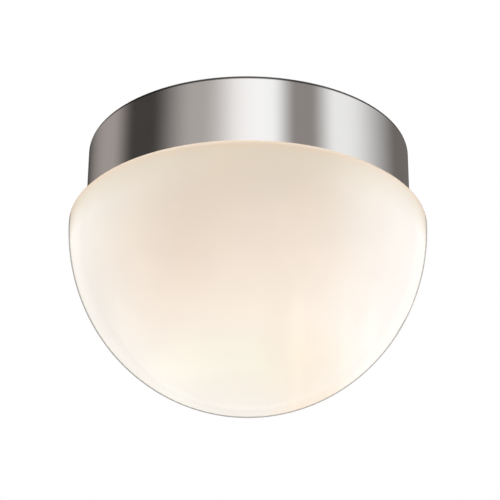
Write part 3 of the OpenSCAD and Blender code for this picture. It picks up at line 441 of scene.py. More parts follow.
# Metals, plated, rolled, pressed or turned: tones of the dark and light patches, roughness where they are
# brightest and dullest, the grain's size in mm along x, y and z, and how deep it is cut
metalTones = (0.30, 0.62)
metalRelief = 4  # strength of the relief for a depth of 1
metals = [
    # zinc over rolled strip, cloudy and blue white
    {"slot": "zinc_steel", "name": "brightZincPlate", "dark": "#A9B0B6", "light": "#D2D6D8",
     "rough": (0.26, 0.46), "grain": (14, 3, 5), "depth": 0.05},
    # straw and rose patches left by the chromate bath
    {"slot": "yellow_zinc", "name": "yellowChromateZinc", "dark": "#B98F4A", "light": "#E3CC86",
     "rough": (0.24, 0.42), "grain": (3, 4, 3), "depth": 0.04},
    # cold rolled strip with fine lines along it
    {"slot": "spring_steel", "name": "rolledSpringSteel", "dark": "#8F959B", "light": "#C4C8CB",
     "rough": (0.22, 0.36), "grain": (5, 5, 0.5), "depth": 0.06},
    # dull, and dimpled by the rivet set
    {"slot": "aluminium_rivet", "name": "headedAluminium", "dark": "#B3B4B3", "light": "#DADAD8",
     "rough": (0.30, 0.48), "grain": (1.2, 1.2, 1.2), "depth": 0.12},
    # thin drawn cap with the rings of the rolling
    {"slot": "aluminium_cap", "name": "stampedAluminium", "dark": "#B8B9BA", "light": "#E0E0DF",
     "rough": (0.20, 0.38), "grain": (4, 4, 0.8), "depth": 0.05},
    # a frozen droplet, grey where it has dulled
    {"slot": "solder", "name": "tinSolder", "dark": "#8E9194", "light": "#C6C8C9",
     "rough": (0.26, 0.50), "grain": (0.9, 0.9, 0.9), "depth": 0.30},
    # warm grey wire with the die's fine lines
    {"slot": "nickel_wire", "name": "drawnNickelWire", "dark": "#7F7B74", "light": "#B0ADA6",
     "rough": (0.28, 0.42), "grain": (2, 2, 0.6), "depth": 0.04},
    # tool rings and a little tarnish
    {"slot": "brass", "name": "turnedBrass", "dark": "#A77F35", "light": "#E0BE6C",
     "rough": (0.20, 0.40), "grain": (2.5, 2.5, 0.5), "depth": 0.06},
    # bare strands of the leads, pink where they are freshly cut and browner where they were handled
    {"slot": "copper", "name": "drawnCopperStrand", "dark": "#A85F3C", "light": "#E6A883",
     "rough": (0.22, 0.40), "grain": (1.5, 1.5, 1.5), "depth": 0.03},
]
for metal in metals:
    tree, shader, place = finish(metal["slot"], metal["name"])
    smoothest, roughest = metal["rough"]
    scales = tuple(1000 / length for length in metal["grain"])
    along = addNode(tree, "ShaderNodeMapping", {"Vector": place, "Scale": scales})
    cloud = addNode(tree, "ShaderNodeTexNoise", {
        "Vector": along.outputs[0], "Scale": 1.0, "Detail": 4.0, "Roughness": 0.6,
    })
    noise = cloud.outputs["Fac"]
    layTones(metal, noise, noise, metalTones, (roughest, smoothest), metal["depth"] * metalRelief)
    setInputs(shader, {"Metallic": 1.0})

# Moulded, extruded, glazed and painted: two tones, roughness, texture size in mm and its depth,
# the clear gloss over it, and how much light goes in
mouldedTones = (0.30, 0.65)
mouldedRelief = 2
broadGrains = 9  # the tone drifts over this many grains
roughSpread = 0.15
mouldings = [
    # dull rubber with a grey bloom
    {"slot": "black_rubber", "name": "mouldedRubber", "dark": "#131314", "light": "#2B2B2C",
     "rough": 0.68, "grain": 0.35, "depth": 0.25, "gloss": 0.0, "letIn": 0.0},
    # waxy, from a spark textured mould
    {"slot": "block_nylon", "name": "mouldedNylon", "dark": "#E2DBC9", "light": "#EAE4D3",
     "rough": 0.44, "grain": 0.30, "depth": 0.15, "gloss": 0.0, "letIn": 0.15},
    # sleeving, faintly rippled by the extruder
    {"slot": "black_pvc", "name": "extrudedBlackSleeving", "dark": "#0F0F10", "light": "#1E1E1F",
     "rough": 0.36, "grain": 1.1, "depth": 0.08, "gloss": 0.1, "letIn": 0.0},
    {"slot": "white_pvc", "name": "extrudedWhiteSleeving", "dark": "#DEDDD6", "light": "#F0EFEA",
     "rough": 0.34, "grain": 1.1, "depth": 0.08, "gloss": 0.1, "letIn": 0.0},
    {"slot": "green_pvc", "name": "extrudedGreenSleeving", "dark": "#1C6A35", "light": "#2E8A4A",
     "rough": 0.36, "grain": 1.1, "depth": 0.08, "gloss": 0.1, "letIn": 0.0},
    # wet gloss over a body that isn't quite even
    {"slot": "porcelain", "name": "glazedPorcelain", "dark": "#E4E1D8", "light": "#F4F2EB",
     "rough": 0.20, "grain": 6.0, "depth": 0.06, "gloss": 1.0, "letIn": 0.0},
    # cloudy rubber that light enters
    {"slot": "silicone", "name": "mouldedSilicone", "dark": "#D2D2CC", "light": "#E8E8E3",
     "rough": 0.52, "grain": 0.8, "depth": 0.06, "gloss": 0.0, "letIn": 0.25},
    # glass pressed into the cap, black to the eye
    {"slot": "black_glass", "name": "pressedBlackGlass", "dark": "#08080A", "light": "#17171B",
     "rough": 0.10, "grain": 3.0, "depth": 0.05, "gloss": 1.0, "letIn": 0.0},
    # thin dip paint, pooled in the slot
    {"slot": "green_steel", "name": "greenDippedSteel", "dark": "#14602E", "light": "#26854A",
     "rough": 0.34, "grain": 1.4, "depth": 0.15, "gloss": 0.3, "letIn": 0.0},
]
for moulding in mouldings:
    tree, shader, place = finish(moulding["slot"], moulding["name"])
    grain = moulding["grain"]
    fine = addNode(tree, "ShaderNodeTexNoise", {"Vector": place, "Scale": 1000 / grain, "Detail": 3.0})
    broad = addNode(tree, "ShaderNodeTexNoise", {
        "Vector": place, "Scale": 1000 / (grain * broadGrains), "Detail": 2.0,
    })
    roughness = (moulding["rough"] * (1 - roughSpread), moulding["rough"] * (1 + roughSpread))
    layTones(moulding, broad.outputs["Fac"], fine.outputs["Fac"], mouldedTones, roughness,
             moulding["depth"] * mouldedRelief)
    setInputs(shader, {
        "Coat Weight": moulding["gloss"],
        "Coat Roughness": 0.06,
        "Subsurface Weight": moulding["letIn"],
        "Subsurface Scale": 0.002,
    })

# Glass wool: spun yellow fibres in a loose mat, matt, with a soft light edge
glassWool = {
    "deep": "#C9A548",
    "fibre": "#F3E2A4",
    "tones": (0.36, 0.60),
    "tuftMm": 3.6,  # single fibres are too fine to show, so tufts of them are drawn
    "clumpMm": 9,
    "fleece": 0.0012,  # how deep the tufts are, in metres
}
tree, shader, place = finish("glass_fibre", "spunGlassWool")
clump = addNode(tree, "ShaderNodeTexNoise", {
    "Vector": place, "Scale": 1000 / glassWool["clumpMm"], "Detail": 4.0, "Roughness": 0.65,
})
tufts = addNode(tree, "ShaderNodeTexNoise", {
    "Vector": place, "Scale": 1000 / glassWool["tuftMm"], "Detail": 5.0, "Roughness": 0.75, "Distortion": 2.2,
})
mixed = addNode(tree, "ShaderNodeMath", {0: clump.outputs["Fac"], 1: tufts.outputs["Fac"]}, operation="ADD")
half = addNode(tree, "ShaderNodeMath", {0: mixed.outputs[0], 1: 0.5}, operation="MULTIPLY")
# darker yellow where clumps and tufts are low: partly random tone, partly painted shade between the tufts
tone = addNode(tree, "ShaderNodeValToRGB", {"Fac": half.outputs[0]})
tone.color_ramp.elements[0].position = glassWool["tones"][0]
tone.color_ramp.elements[0].color = linear(glassWool["deep"])
tone.color_ramp.elements[1].position = glassWool["tones"][1]
tone.color_ramp.elements[1].color = linear(glassWool["fibre"])
bump = addNode(tree, "ShaderNodeBump", {
    "Height": tufts.outputs["Fac"], "Strength": 0.9, "Distance": glassWool["fleece"],
})
setInputs(shader, {
    "Base Color": tone.outputs[0],
    "Roughness": 0.95,
    "Normal": bump.outputs[0],
    "Sheen Weight": 0.4,
    "Sheen Roughness": 0.6,
})

# Lamp bulb: blown glass with a white powder inside, lit; brightest round the filament
bulb = {
    "skin": "#F6F2E9",
    "glow": "#FFE2B4",
    "middle": (0, 0, -0.0985),
    "brightMm": 18,
    "reachMm": 42,
    "brightest": 0.60,
    "faintest": 0.22,
    "powderMm": 0.6,
    "smoothest": 0.24,
    "dullest": 0.36,
}
tree, shader, place = finish("frosted_glass", "powderCoatedBulbGlass")
fromMiddle = addNode(tree, "ShaderNodeVectorMath", {0: place, 1: bulb["middle"]}, operation="DISTANCE")
near = addNode(tree, "ShaderNodeMapRange", {
    "Value": fromMiddle.outputs["Value"],
    "From Min": bulb["brightMm"] / 1000, "From Max": bulb["reachMm"] / 1000,
    "To Min": bulb["brightest"], "To Max": bulb["faintest"],
}, interpolation_type="SMOOTHSTEP")
powder = addNode(tree, "ShaderNodeTexNoise", {
    "Vector": place, "Scale": 1000 / bulb["powderMm"], "Detail": 3.0,
})
rough = addNode(tree, "ShaderNodeMapRange", {
    "Value": powder.outputs["Fac"], "From Min": noiseLow, "From Max": noiseHigh,
    "To Min": bulb["smoothest"], "To Max": bulb["dullest"],
})
setInputs(shader, {
    "Base Color": linear(bulb["skin"]),
    "Roughness": rough.outputs[0],
    "Emission Color": linear(bulb["glow"]),
    "Emission Strength": near.outputs[0],
    "Coat Weight": 0.6,
    "Coat Roughness": 0.08,
})

# Clear lead glass of the lamp's stem, drawn and pinched hot
stemGlass = {"colour": "#E4F0EC", "seedMm": 1.4, "seedShown": 0.15, "seedDepth": 0.0002}
tree, shader, place = finish("stem_glass", "clearStemGlass")
seeds = addNode(tree, "ShaderNodeTexNoise", {
    "Vector": place, "Scale": 1000 / stemGlass["seedMm"], "Detail": 2.0,
})
bump = addNode(tree, "ShaderNodeBump", {
    "Height": seeds.outputs["Fac"], "Strength": stemGlass["seedShown"], "Distance": stemGlass["seedDepth"],
})
setInputs(shader, {
    "Base Color": linear(stemGlass["colour"]),
    "Roughness": 0.04,
    "IOR": 1.56,
    "Transmission Weight": 0.85,
    "Normal": bump.outputs[0],
})

# Coiled tungsten wire, white hot at its middle and orange towards the cooler supports
hotWire = {"hot": "#FFD08A", "wire": "#4A4A4D", "coolAt": 0.016, "hottest": 3.0, "coolest": 0.8}
tree, shader, place = finish("tungsten", "glowingTungsten")
parts = addNode(tree, "ShaderNodeSeparateXYZ", {"Vector": place})
out = addNode(tree, "ShaderNodeMath", {0: parts.outputs["X"]}, operation="ABSOLUTE")
heat = addNode(tree, "ShaderNodeMapRange", {
    "Value": out.outputs[0], "From Min": 0.0, "From Max": hotWire["coolAt"],
    "To Min": hotWire["hottest"], "To Max": hotWire["coolest"],
})
setInputs(shader, {
    "Base Color": linear(hotWire["wire"]),
    "Metallic": 1.0,
    "Roughness": 0.5,
    "Emission Color": linear(hotWire["hot"]),
    "Emission Strength": heat.outputs[0],
})

for item in nodes.values():
    for slot in item.material_slots:
        slotName = slot.material.name.split(".")[0]
        if slotName in finishes:
            slot.material = finishes[slotName]
print("finishes on the CAD nodes")


mm = 0.001
mergeWithin = 0.002 * mm
levelWithin = 0.01 * mm


def workOn(piece):  # nothing else stays selected, so the operators touch this piece alone
    bpy.ops.object.select_all(action="DESELECT")
    piece.select_set(True)
    bpy.context.view_layer.objects.active = piece


def editAll():  # edit mode, with the whole piece selected
    bpy.ops.object.mode_set(mode="EDIT")
    bpy.ops.mesh.select_all(action="SELECT")


def pick(kind, wanted):  # in edit mode: just the edges or faces that the rule wants
    bpy.ops.mesh.select_mode(type=kind)
    bpy.ops.mesh.select_all(action="DESELECT")
    mesh = bpy.context.edit_object.data
    shape = bmesh.from_edit_mesh(mesh)
    for item in {"EDGE": shape.edges, "FACE": shape.faces}[kind]:
        if wanted(item):
            item.select_set(True)
    bmesh.update_edit_mesh(mesh)


def upright(edge):
    return abs(edge.verts[0].co.z - edge.verts[1].co.z) > mm


def ringAt(height):
    return lambda edge: all(abs(corner.co.z - height) < levelWithin for corner in edge.verts)


def drawOn(rings, was):  # the selected ring of edges is drawn on through each radius and height
    for radius, height in rings:
        bpy.ops.mesh.extrude_edges_move(TRANSFORM_OT_translate={"value": (0, 0, (height - was[1]) * mm)})
        bpy.ops.transform.resize(value=(radius / was[0], radius / was[0], 1))
        was = (radius, height)


def cleanUp(piece, sharpAngle=35):  # modifiers and place go into the mesh, doubles merged, faces outwards
    workOn(piece)
    for modifier in list(piece.modifiers):
        bpy.ops.object.modifier_apply(modifier=modifier.name)
    bpy.ops.object.transform_apply(location=True, rotation=True, scale=True)
    editAll()
    bpy.ops.mesh.remove_doubles(threshold=mergeWithin)
    bpy.ops.mesh.normals_make_consistent(inside=False)
    bpy.ops.object.mode_set(mode="OBJECT")
    bpy.ops.object.shade_smooth_by_angle(angle=math.radians(sharpAngle))


def settle(piece, name, finishName, body, standsFor=None):  # standsFor is the CAD node that it takes over
    piece.name = name
    piece.data.name = name
    piece.data.materials.clear()
    piece.data.materials.append(finishes[finishName])
    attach(piece, body)
    if standsFor:
        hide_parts(standsFor)


def copyOf(piece, x, y, z=0.0):  # a copy with its own mesh, put in its place
    workOn(piece)
    bpy.ops.object.duplicate(linked=False)
    twin = bpy.context.active_object
    twin.data.transform(Matrix.Translation((x * mm, y * mm, z * mm)))
    return twin


# Glass wool blanket on the pan's back: a flat cut ring, blown up a little by cloth simulation, then lumpy
blanket = {
    "sides": 96,
    "holeRadius": 58.8,
    "rimRadius": 92.5,
    "under": -13.4,
    "over": -6.6,
    "voxel": 2.4,
    "gluedHeight": 0.4,
    "pressure": 4.0,
    "lastFrame": 14,
    "mostSwell": 2.0,
    "innerRoom": 57.4,
    "outerRoom": 93.9,
    "floorRoom": -13.95,
    "topRoom": -5.05,
    "lumps": [{"across": 17, "height": 1.5}, {"across": 5, "height": 0.9}],
    "rivetAngles": (30, 150, 270),
    "rivetRadius": 80,
    "rivetSide": 4,
    "rivetHollow": {"radius": 3.4, "top": -12.6},
    "earthHollow": {"x": 0, "y": 78, "radius": 2.8, "top": -11.6},
    "fill": 0.5,
}
bpy.ops.mesh.primitive_circle_add(
    vertices=blanket["sides"], radius=blanket["holeRadius"] * mm, location=(0, 0, blanket["under"] * mm),
)
wool = bpy.context.active_object
bpy.ops.object.transform_apply(location=True)
editAll()
wider = blanket["rimRadius"] / blanket["holeRadius"]
bpy.ops.mesh.extrude_edges_move()
bpy.ops.transform.resize(value=(wider, wider, 1))
bpy.ops.mesh.select_all(action="SELECT")
thick = (blanket["over"] - blanket["under"]) * mm
bpy.ops.mesh.extrude_region_move(TRANSFORM_OT_translate={"value": (0, 0, thick)})
bpy.ops.mesh.select_all(action="SELECT")
bpy.ops.mesh.normals_make_consistent(inside=False)
bpy.ops.object.mode_set(mode="OBJECT")
remesh = wool.modifiers.new("evenMesh", "REMESH")
remesh.mode = "VOXEL"
remesh.voxel_size = blanket["voxel"] * mm
bpy.ops.object.modifier_apply(modifier="evenMesh")
cutPlaces = [corner.co.copy() for corner in wool.data.vertices]
glued = wool.vertex_groups.new(name="gluedFace")
gluedTop = (blanket["under"] + blanket["gluedHeight"]) * mm
underside = [i for i, place in enumerate(cutPlaces) if place.z < gluedTop]
glued.add(underside, 1.0, "REPLACE")
cloth = wool.modifiers.new("airInTheWool", "CLOTH")
cloth.settings.vertex_group_mass = "gluedFace"
cloth.settings.use_pressure = True
cloth.settings.uniform_pressure_force = blanket["pressure"]
cloth.settings.effector_weights.gravity = 0
cloth.point_cache.frame_start = 1
cloth.point_cache.frame_end = blanket["lastFrame"]
for step in range(1, blanket["lastFrame"] + 1):
    bpy.context.scene.frame_set(step)
workOn(wool)
bpy.ops.object.modifier_apply(modifier="airInTheWool")
bpy.context.scene.frame_set(1)
for corner, was in zip(wool.data.vertices, cutPlaces):
    moved = corner.co - was
    if moved.length > blanket["mostSwell"] * mm:
        corner.co = was + moved * (blanket["mostSwell"] * mm / moved.length)
smooth = wool.modifiers.new("softEdges", "SUBSURF")
smooth.levels = 1
smooth.render_levels = 1
for lump in blanket["lumps"]:
    cloudy = bpy.data.textures.new("woolLumps", "CLOUDS")
    cloudy.noise_scale = lump["across"] * mm
    cloudy.noise_depth = 2
    push = wool.modifiers.new("lumps", "DISPLACE")
    push.texture = cloudy
    push.texture_coords = "LOCAL"
    push.strength = lump["height"] * mm * 2  # half of it up and half down
    push.mid_level = 0.5
workOn(wool)
for modifier in list(wool.modifiers):
    bpy.ops.object.modifier_apply(modifier=modifier.name)
hollows = [blanket["earthHollow"]]
for angle in blanket["rivetAngles"]:
    across = Matrix.Rotation(math.radians(angle), 2)
    for side in (-blanket["rivetSide"], blanket["rivetSide"]):
        spot = across @ Vector((blanket["rivetRadius"], side))
        hollows.append({"x": spot.x, "y": spot.y, **blanket["rivetHollow"]})
# It stays in the space it has: flat where it is glued down, and hollow over the rivets and the earth screw
for corner in wool.data.vertices:
    out = corner.co.xy.length
    kept = min(max(out, blanket["innerRoom"] * mm), blanket["outerRoom"] * mm)
    corner.co.xy *= kept / out
    low = blanket["floorRoom"] * mm
    for hollow in hollows:
        if (corner.co.xy - Vector((hollow["x"], hollow["y"])) * mm).length < hollow["radius"] * mm:
            low = hollow["top"] * mm
    corner.co.z = min(max(corner.co.z, low), blanket["topRoom"] * mm)
cleanUp(wool, sharpAngle=180)
settle(wool, "insulationBlanket", "glass_fibre", "fixture", "insulation_pad")
print("blanket made:", len(wool.data.polygons), "faces")


# Rolled threads of the lamp's cap and of the shell that it screws into: thin sheet, pressed between rollers
threadPitch = 3.63  # medium screw base, seven turns to the inch
threadFade = 1.6  # over which a thread dies out
ringSpacing = 0.33  # of the points down a tube
tubeSides = 72
sheets = [
    {"name": "rolledLampCap", "node": "lamp_cap", "body": "lamp", "slot": "aluminium_cap",
     "crest": 13.0, "root": 12.35, "sheet": 0.28, "mouth": -53.5, "threadFrom": -49.8, "threadTo": -34.6,
     "rings": [(13.0, -33.4), (12.6, -32.5), (11.9, -31.9), (9.4, -30.75), (6.9, -29.7), (6.5, -29.6)]},
    {"name": "threadedShell", "node": "lampholder_shell", "body": "fixture", "slot": "brass",
     "crest": 13.78, "root": 13.56, "sheet": 0.24, "mouth": -51.6, "threadFrom": -48.5, "threadTo": -28.0,
     "rings": [(13.78, -24.6), (13.6, -24.1), (13.1, -23.86), (9.5, -23.8)]},
]
for sheet in sheets:
    top = sheet["rings"][0][1]
    tall = top - sheet["mouth"]
    bpy.ops.mesh.primitive_cylinder_add(
        vertices=tubeSides, radius=sheet["crest"] * mm, depth=tall * mm, end_fill_type="NOTHING",
        location=(0, 0, (top - tall / 2) * mm),
    )
    tube = bpy.context.active_object
    bpy.ops.object.transform_apply(location=True)
    bpy.ops.object.mode_set(mode="EDIT")
    pick("EDGE", upright)
    bpy.ops.mesh.subdivide(number_cuts=round(tall / ringSpacing))
    pick("EDGE", ringAt(top * mm))
    drawOn(sheet["rings"][1:], was=sheet["rings"][0])
    bpy.ops.object.mode_set(mode="OBJECT")
    for corner in tube.data.vertices:  # the rollers' groove winds down and dies out at both ends
        depth = corner.co.z / mm
        if sheet["threadFrom"] < depth < sheet["threadTo"]:
            nearEnd = min(depth - sheet["threadFrom"], sheet["threadTo"] - depth)
            fade = min(1, nearEnd / threadFade)
            wound = math.atan2(corner.co.y, corner.co.x) - 2 * math.pi * depth / threadPitch
            groove = (0.5 + 0.5 * math.cos(wound)) * fade * (sheet["crest"] - sheet["root"])
            corner.co.xy *= (sheet["crest"] - groove) / sheet["crest"]
    wall = tube.modifiers.new("sheet", "SOLIDIFY")
    wall.thickness = sheet["sheet"] * mm
    wall.offset = -1
    cleanUp(tube)
    settle(tube, sheet["name"], sheet["slot"], sheet["body"], sheet["node"])
print("threaded cap and shell made")


# Leads: extruded sleeving on a smooth bend, seven twisted copper strands out of each end
leads = {
    "sleeveRadius": 1.3,
    "strandRadius": 0.2,
    "strandSides": 10,
    "strandCuts": 14,
    "layMm": 7,
    "holderLead": [
        (10, 64, -21.1), (11.4, 67.5, -21.1), (16.02, 69.18, -21.1), (21.9, 67.5, -21.1), (26.8, 61.9, -21.1),
        (30.02, 54.2, -21.1), (30.51, 43.98, -19.9), (26.02, 29.13, -19.9), (22.91, 26.02, -19.9),
    ],
    "holderEnds": [((10, 54, -21.1), (10, 64.4, -21.1)), ((17.54, 20.65, -19.9), (23.2, 26.3, -19.9))],
    "earthLead": [(0, 63, -21.1), (0, 66, -18.8), (0, 68.7, -16.5)],
    "earthEnds": [((0, 54, -21.1), (0, 63.4, -21.1)), ((0, 68.3, -16.5), (0, 73, -16.5))],
}


def meshOf(curve):  # its tube as a closed mesh
    curve.data.use_fill_caps = True
    workOn(curve)
    bpy.ops.object.location_clear()
    bpy.ops.object.convert(target="MESH")
    return bpy.context.active_object


def wireAlong(points, radius):  # a round wire on one smooth curve through the points
    bpy.ops.curve.primitive_bezier_curve_add()
    curve = bpy.context.active_object
    curve.data.splines.clear()
    spline = curve.data.splines.new("BEZIER")
    spline.bezier_points.add(len(points) - 1)
    for knot, place in zip(spline.bezier_points, points):
        knot.co = Vector(place) * mm
        knot.handle_left_type = "AUTO"
        knot.handle_right_type = "AUTO"
    curve.data.resolution_u = 8
    curve.data.bevel_depth = radius * mm
    curve.data.bevel_resolution = 5
    return meshOf(curve)


def strandBundle(start, end):  # one strand in the middle, six round it, twisted together
    start, end = Vector(start) * mm, Vector(end) * mm
    length = (end - start).length
    bpy.ops.mesh.primitive_cylinder_add(
        vertices=leads["strandSides"], radius=leads["strandRadius"] * mm, depth=length,
        location=(0, 0, length / 2), end_fill_type="TRIFAN",
    )
    bundle = bpy.context.active_object
    bpy.ops.object.transform_apply(location=True)
    bpy.ops.object.mode_set(mode="EDIT")
    pick("EDGE", upright)
    bpy.ops.mesh.subdivide(number_cuts=leads["strandCuts"])
    bpy.ops.mesh.select_all(action="SELECT")
    bpy.ops.mesh.duplicate_move(TRANSFORM_OT_translate={"value": (2 * leads["strandRadius"] * mm, 0, 0)})
    bpy.ops.mesh.spin(steps=6, dupli=True, angle=2 * math.pi, center=(0, 0, 0), axis=(0, 0, 1))
    bpy.ops.object.mode_set(mode="OBJECT")
    twist = bundle.modifiers.new("lay", "SIMPLE_DEFORM")
    twist.deform_method = "TWIST"
    twist.deform_axis = "Z"
    twist.angle = 2 * math.pi * length / (leads["layMm"] * mm)
    bpy.ops.object.modifier_apply(modifier="lay")
    turned = (end - start).to_track_quat("Z", "Y").to_matrix().to_4x4()
    bundle.data.transform(Matrix.Translation(start) @ turned)
    return bundle


wires = [
    {"name": "live", "slot": "black_pvc", "route": "holderLead", "ends": "holderEnds", "side": -1},
    {"name": "neutral", "slot": "white_pvc", "route": "holderLead", "ends": "holderEnds", "side": 1},
    {"name": "earth", "slot": "green_pvc", "route": "earthLead", "ends": "earthEnds", "side": 1},
]
for wire in wires:
    mirrored = [(wire["side"] * x, y, z) for x, y, z in leads[wire["route"]]]
    tube = wireAlong(mirrored, leads["sleeveRadius"])
    cleanUp(tube, sharpAngle=50)
    settle(tube, wire["name"] + "LeadSleeve", wire["slot"], "fixture", wire["name"] + "_lead")
    for place, ends in zip(("Block", "Far"), leads[wire["ends"]]):
        start, end = [(wire["side"] * x, y, z) for x, y, z in ends]
        bundle = strandBundle(start, end)
        cleanUp(bundle, sharpAngle=50)
        settle(bundle, wire["name"] + place + "Strands", "copper", "fixture")
print("leads made")


# Screws: turned blank with a rolled thread; each size is made once, head down from the seat at z = 0
screws = [
    {"name": "mountingScrew", "node": "mounting_screws", "slot": "yellow_zinc", "shank": 2.0, "long": 14.5,
     "head": 4.0, "high": 3.0, "pitch": 0.79, "cross": True,
     "places": [(34.925, 0, -14.8), (-34.925, 0, -14.8)]},
    {"name": "groundScrew", "node": "ground_screw", "slot": "green_steel", "shank": 2.2, "long": 1.7,
     "head": 4.4, "high": 2.4, "pitch": 0.79, "cross": True, "places": [(-18, 0, -2.0)]},
    {"name": "earthScrew", "node": "earth_screw", "slot": "green_steel", "shank": 1.6, "long": 3.6,
     "head": 3.0, "high": 2.0, "pitch": 0.6, "cross": False, "places": [(0, 78, -15.6)]},
    {"name": "blockScrew", "node": "terminal_block_screws", "slot": "zinc_steel", "shank": 1.3, "long": 13.4,
     "head": 2.5, "high": 1.8, "pitch": 0.6, "cross": True, "places": [(5, 53, -25.4), (-5, 53, -25.4)]},
    {"name": "clampScrew", "node": "terminal_screws", "slot": "zinc_steel", "shank": 1.3, "long": 1.8,
     "head": 2.0, "high": 1.6, "pitch": 0.5, "cross": False,
     "places": [(x, y, -23.6) for x in (-10, 0, 10) for y in (48, 58)]},
    {"name": "holderTerminalScrew", "node": "lampholder_terminal_screws", "slot": "zinc_steel", "shank": 1.5,
     "long": 4.2, "head": 3.2, "high": 1.8, "pitch": 0.6, "cross": False,
     "places": [(21.213, 21.213, -20.5), (-21.213, 21.213, -20.5)]},
    {"name": "holderScrew", "node": "lampholder_screws", "slot": "zinc_steel", "shank": 1.5, "long": 10.8,
     "head": 2.9, "high": 2.0, "pitch": 0.6, "cross": False, "upsideDown": True,
     "places": [(20.5, 0, -14.0), (-20.5, 0, -14.0)]},
]
threadDepth = 0.55  # of the pitch, as on a rolled sixty degree thread
threadSteps = 20
threadInHead = 0.2 * mm  # where it begins
turnsBefore = 2  # wound before that and cut off again
turnsSpare = 3
headSides = 40
roundedShare = 0.45  # of the head's height
straightSlot = (2.2, 0.25, 0.5)  # length and width in head radii, depth in head heights
crossSlots = [(0.30, 1.0, 0.62), (1.0, 0.30, 0.62)]
for screw in screws:
    head, high, shank, pitch = (screw[key] * mm for key in ("head", "high", "shank", "pitch"))
    bpy.ops.mesh.primitive_cylinder_add(
        vertices=headSides, radius=head, depth=high, location=(0, 0, -high / 2),
    )
    blank = bpy.context.active_object
    bpy.ops.object.transform_apply(location=True)
    bpy.ops.object.mode_set(mode="EDIT")
    pick("EDGE", ringAt(-high))
    bpy.ops.mesh.bevel(offset=high * roundedShare, segments=4, affect="EDGES")
    bpy.ops.object.mode_set(mode="OBJECT")
    recess = [straightSlot] + (crossSlots if screw["cross"] else [])
    for long, wide, deep in recess:
        bpy.ops.mesh.primitive_cube_add(
            size=1, location=(0, 0, -high), scale=(head * long, head * wide, 2 * deep * high),
        )
        cutter = bpy.context.active_object
        cut = blank.modifiers.new("recess", "BOOLEAN")
        cut.operation = "DIFFERENCE"
        cut.solver = "EXACT"
        cut.object = cutter
        workOn(blank)
        bpy.ops.object.modifier_apply(modifier="recess")
        bpy.data.objects.remove(cutter)

    bpy.ops.mesh.primitive_circle_add(vertices=4, radius=shank)
    thread = bpy.context.active_object
    bpy.ops.object.mode_set(mode="EDIT")
    bpy.ops.mesh.delete(type="EDGE_FACE")
    mesh = bpy.context.edit_object.data
    shape = bmesh.from_edit_mesh(mesh)
    shape.verts.ensure_lookup_table()
    bmesh.ops.delete(shape, geom=[shape.verts[3]], context="VERTS")
    shape.verts.ensure_lookup_table()
    rootRadius = shank - threadDepth * pitch
    tooth = ((rootRadius, 0, 0), (shank, 0, pitch / 2), (rootRadius, 0, pitch))
    for corner, place in zip(shape.verts, tooth):
        corner.co = place
    shape.edges.new((shape.verts[0], shape.verts[1]))
    shape.edges.new((shape.verts[1], shape.verts[2]))
    bmesh.update_edit_mesh(mesh)
    bpy.ops.object.mode_set(mode="OBJECT")
    wind = thread.modifiers.new("wind", "SCREW")
    wind.axis = "Z"
    wind.angle = 2 * math.pi
    wind.screw_offset = pitch
    wind.iterations = math.ceil(screw["long"] * mm / pitch) + turnsSpare
    wind.steps = threadSteps
    wind.render_steps = threadSteps
    workOn(thread)
    bpy.ops.object.modifier_apply(modifier="wind")
    thread.data.transform(Matrix.Translation((0, 0, -turnsBefore * pitch)))
    editAll()
    bpy.ops.mesh.remove_doubles(threshold=mergeWithin)
    for level, side in ((-threadInHead, -1), (screw["long"] * mm, 1)):
        bpy.ops.mesh.select_all(action="SELECT")
        bpy.ops.mesh.bisect(plane_co=(0, 0, level), plane_no=(0, 0, side), use_fill=True, clear_outer=True)
    bpy.ops.object.mode_set(mode="OBJECT")
    workOn(blank)
    thread.select_set(True)
    bpy.ops.object.join()
    if screw.get("upsideDown"):
        blank.data.transform(Matrix.Rotation(math.pi, 4, "X"))
    cleanUp(blank, sharpAngle=30)
    for number, (x, y, z) in enumerate(screw["places"], 1):
        twin = copyOf(blank, x, y, z)
        settle(twin, screw["name"] + str(number), screw["slot"], "fixture", screw["node"])
    bpy.data.objects.remove(blank)
print("screws made")


# Knurled nuts under the reflector: a plain collar, then a straight knurl, bored right through
nut = {
    "x": 45,
    "ridges": 44,
    "ridgeInset": 0.12,
    "ridgeDepth": 0.28,
    "knurlBeyond": 4.3,  # from the nut's axis
    "knurlTilt": 0.2,  # the most that its faces look up or down
    "bore": (2.1, -37.3),
    "rings": [  # out across the underside, up the knurl, in to the collar, up it and back down the bore
        (2.6, -37.3), (4.5, -37.3), (5.0, -36.95), (5.0, -34.05), (4.5, -33.7), (3.8, -33.7),
        (3.8, -32.3), (2.5, -32.3), (2.1, -32.7), (2.1, -37.3),
    ],
}
bpy.ops.mesh.primitive_circle_add(
    vertices=nut["ridges"], radius=nut["bore"][0] * mm, location=(0, 0, nut["bore"][1] * mm),
)
knob = bpy.context.active_object
bpy.ops.object.transform_apply(location=True)
editAll()
drawOn(nut["rings"], was=nut["bore"])
bpy.ops.mesh.select_all(action="SELECT")
bpy.ops.mesh.remove_doubles(threshold=mergeWithin)
bpy.ops.mesh.normals_make_consistent(inside=False)


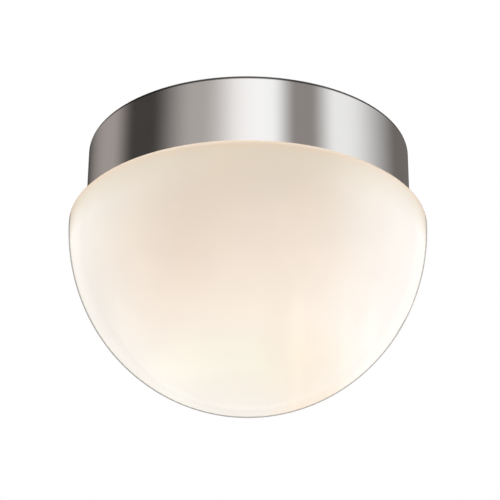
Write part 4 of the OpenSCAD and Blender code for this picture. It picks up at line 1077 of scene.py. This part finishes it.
def onKnurl(face):
    outside = face.calc_center_median().xy.length > nut["knurlBeyond"] * mm
    return outside and abs(face.normal.z) < nut["knurlTilt"]


pick("FACE", onKnurl)
bpy.ops.mesh.inset(thickness=nut["ridgeInset"] * mm, depth=-nut["ridgeDepth"] * mm, use_individual=True)
bpy.ops.object.mode_set(mode="OBJECT")
cleanUp(knob, sharpAngle=30)
for number, side in enumerate((-1, 1), 1):
    twin = copyOf(knob, side * nut["x"], 0)
    settle(twin, "knurledNut" + str(number), "zinc_steel", "fixture", "reflector_nuts")
bpy.data.objects.remove(knob)
print("knurled nuts made")


# Inside the lamp: two bent support wires and a coiled filament slung between their tips
hotPart = {
    "wireRadius": 0.4,
    "wire": [(1.6, 0, -77.5), (1.6, 0, -79.1), (6.6, 0, -88), (11, 0, -96.5), (11, 0, -98.5)],
    "halfLong": 10.55,
    "endHeight": -99.0,
    "bow": 2.0,
    "coilRadius": 0.42,
    "strandRadius": 0.08,
    "turns": 40,
    "pointsPerTurn": 10,
}
for number, side in enumerate((-1, 1), 1):
    support = wireAlong([(side * x, y, z) for x, y, z in hotPart["wire"]], hotPart["wireRadius"])
    cleanUp(support, sharpAngle=50)
    settle(support, "supportWire" + str(number), "nickel_wire", "lamp", "lamp_wires")
bpy.ops.curve.primitive_bezier_curve_add()
coil = bpy.context.active_object
coil.data.splines.clear()
count = hotPart["turns"] * hotPart["pointsPerTurn"] + 1
spline = coil.data.splines.new("POLY")
spline.points.add(count - 1)
for i, knot in enumerate(spline.points):
    along = 2 * i / (count - 1) - 1
    turn = 2 * math.pi * i / hotPart["pointsPerTurn"]
    x = hotPart["halfLong"] * along
    y = hotPart["coilRadius"] * math.cos(turn)
    z = hotPart["endHeight"] + hotPart["bow"] * (1 - along ** 2) + hotPart["coilRadius"] * math.sin(turn)
    knot.co = (x * mm, y * mm, z * mm, 1)
coil.data.bevel_depth = hotPart["strandRadius"] * mm
coil.data.bevel_resolution = 1
coil = meshOf(coil)
cleanUp(coil, sharpAngle=60)
settle(coil, "coiledFilament", "tungsten", "lamp", "lamp_filament")
print("support wires and filament made")
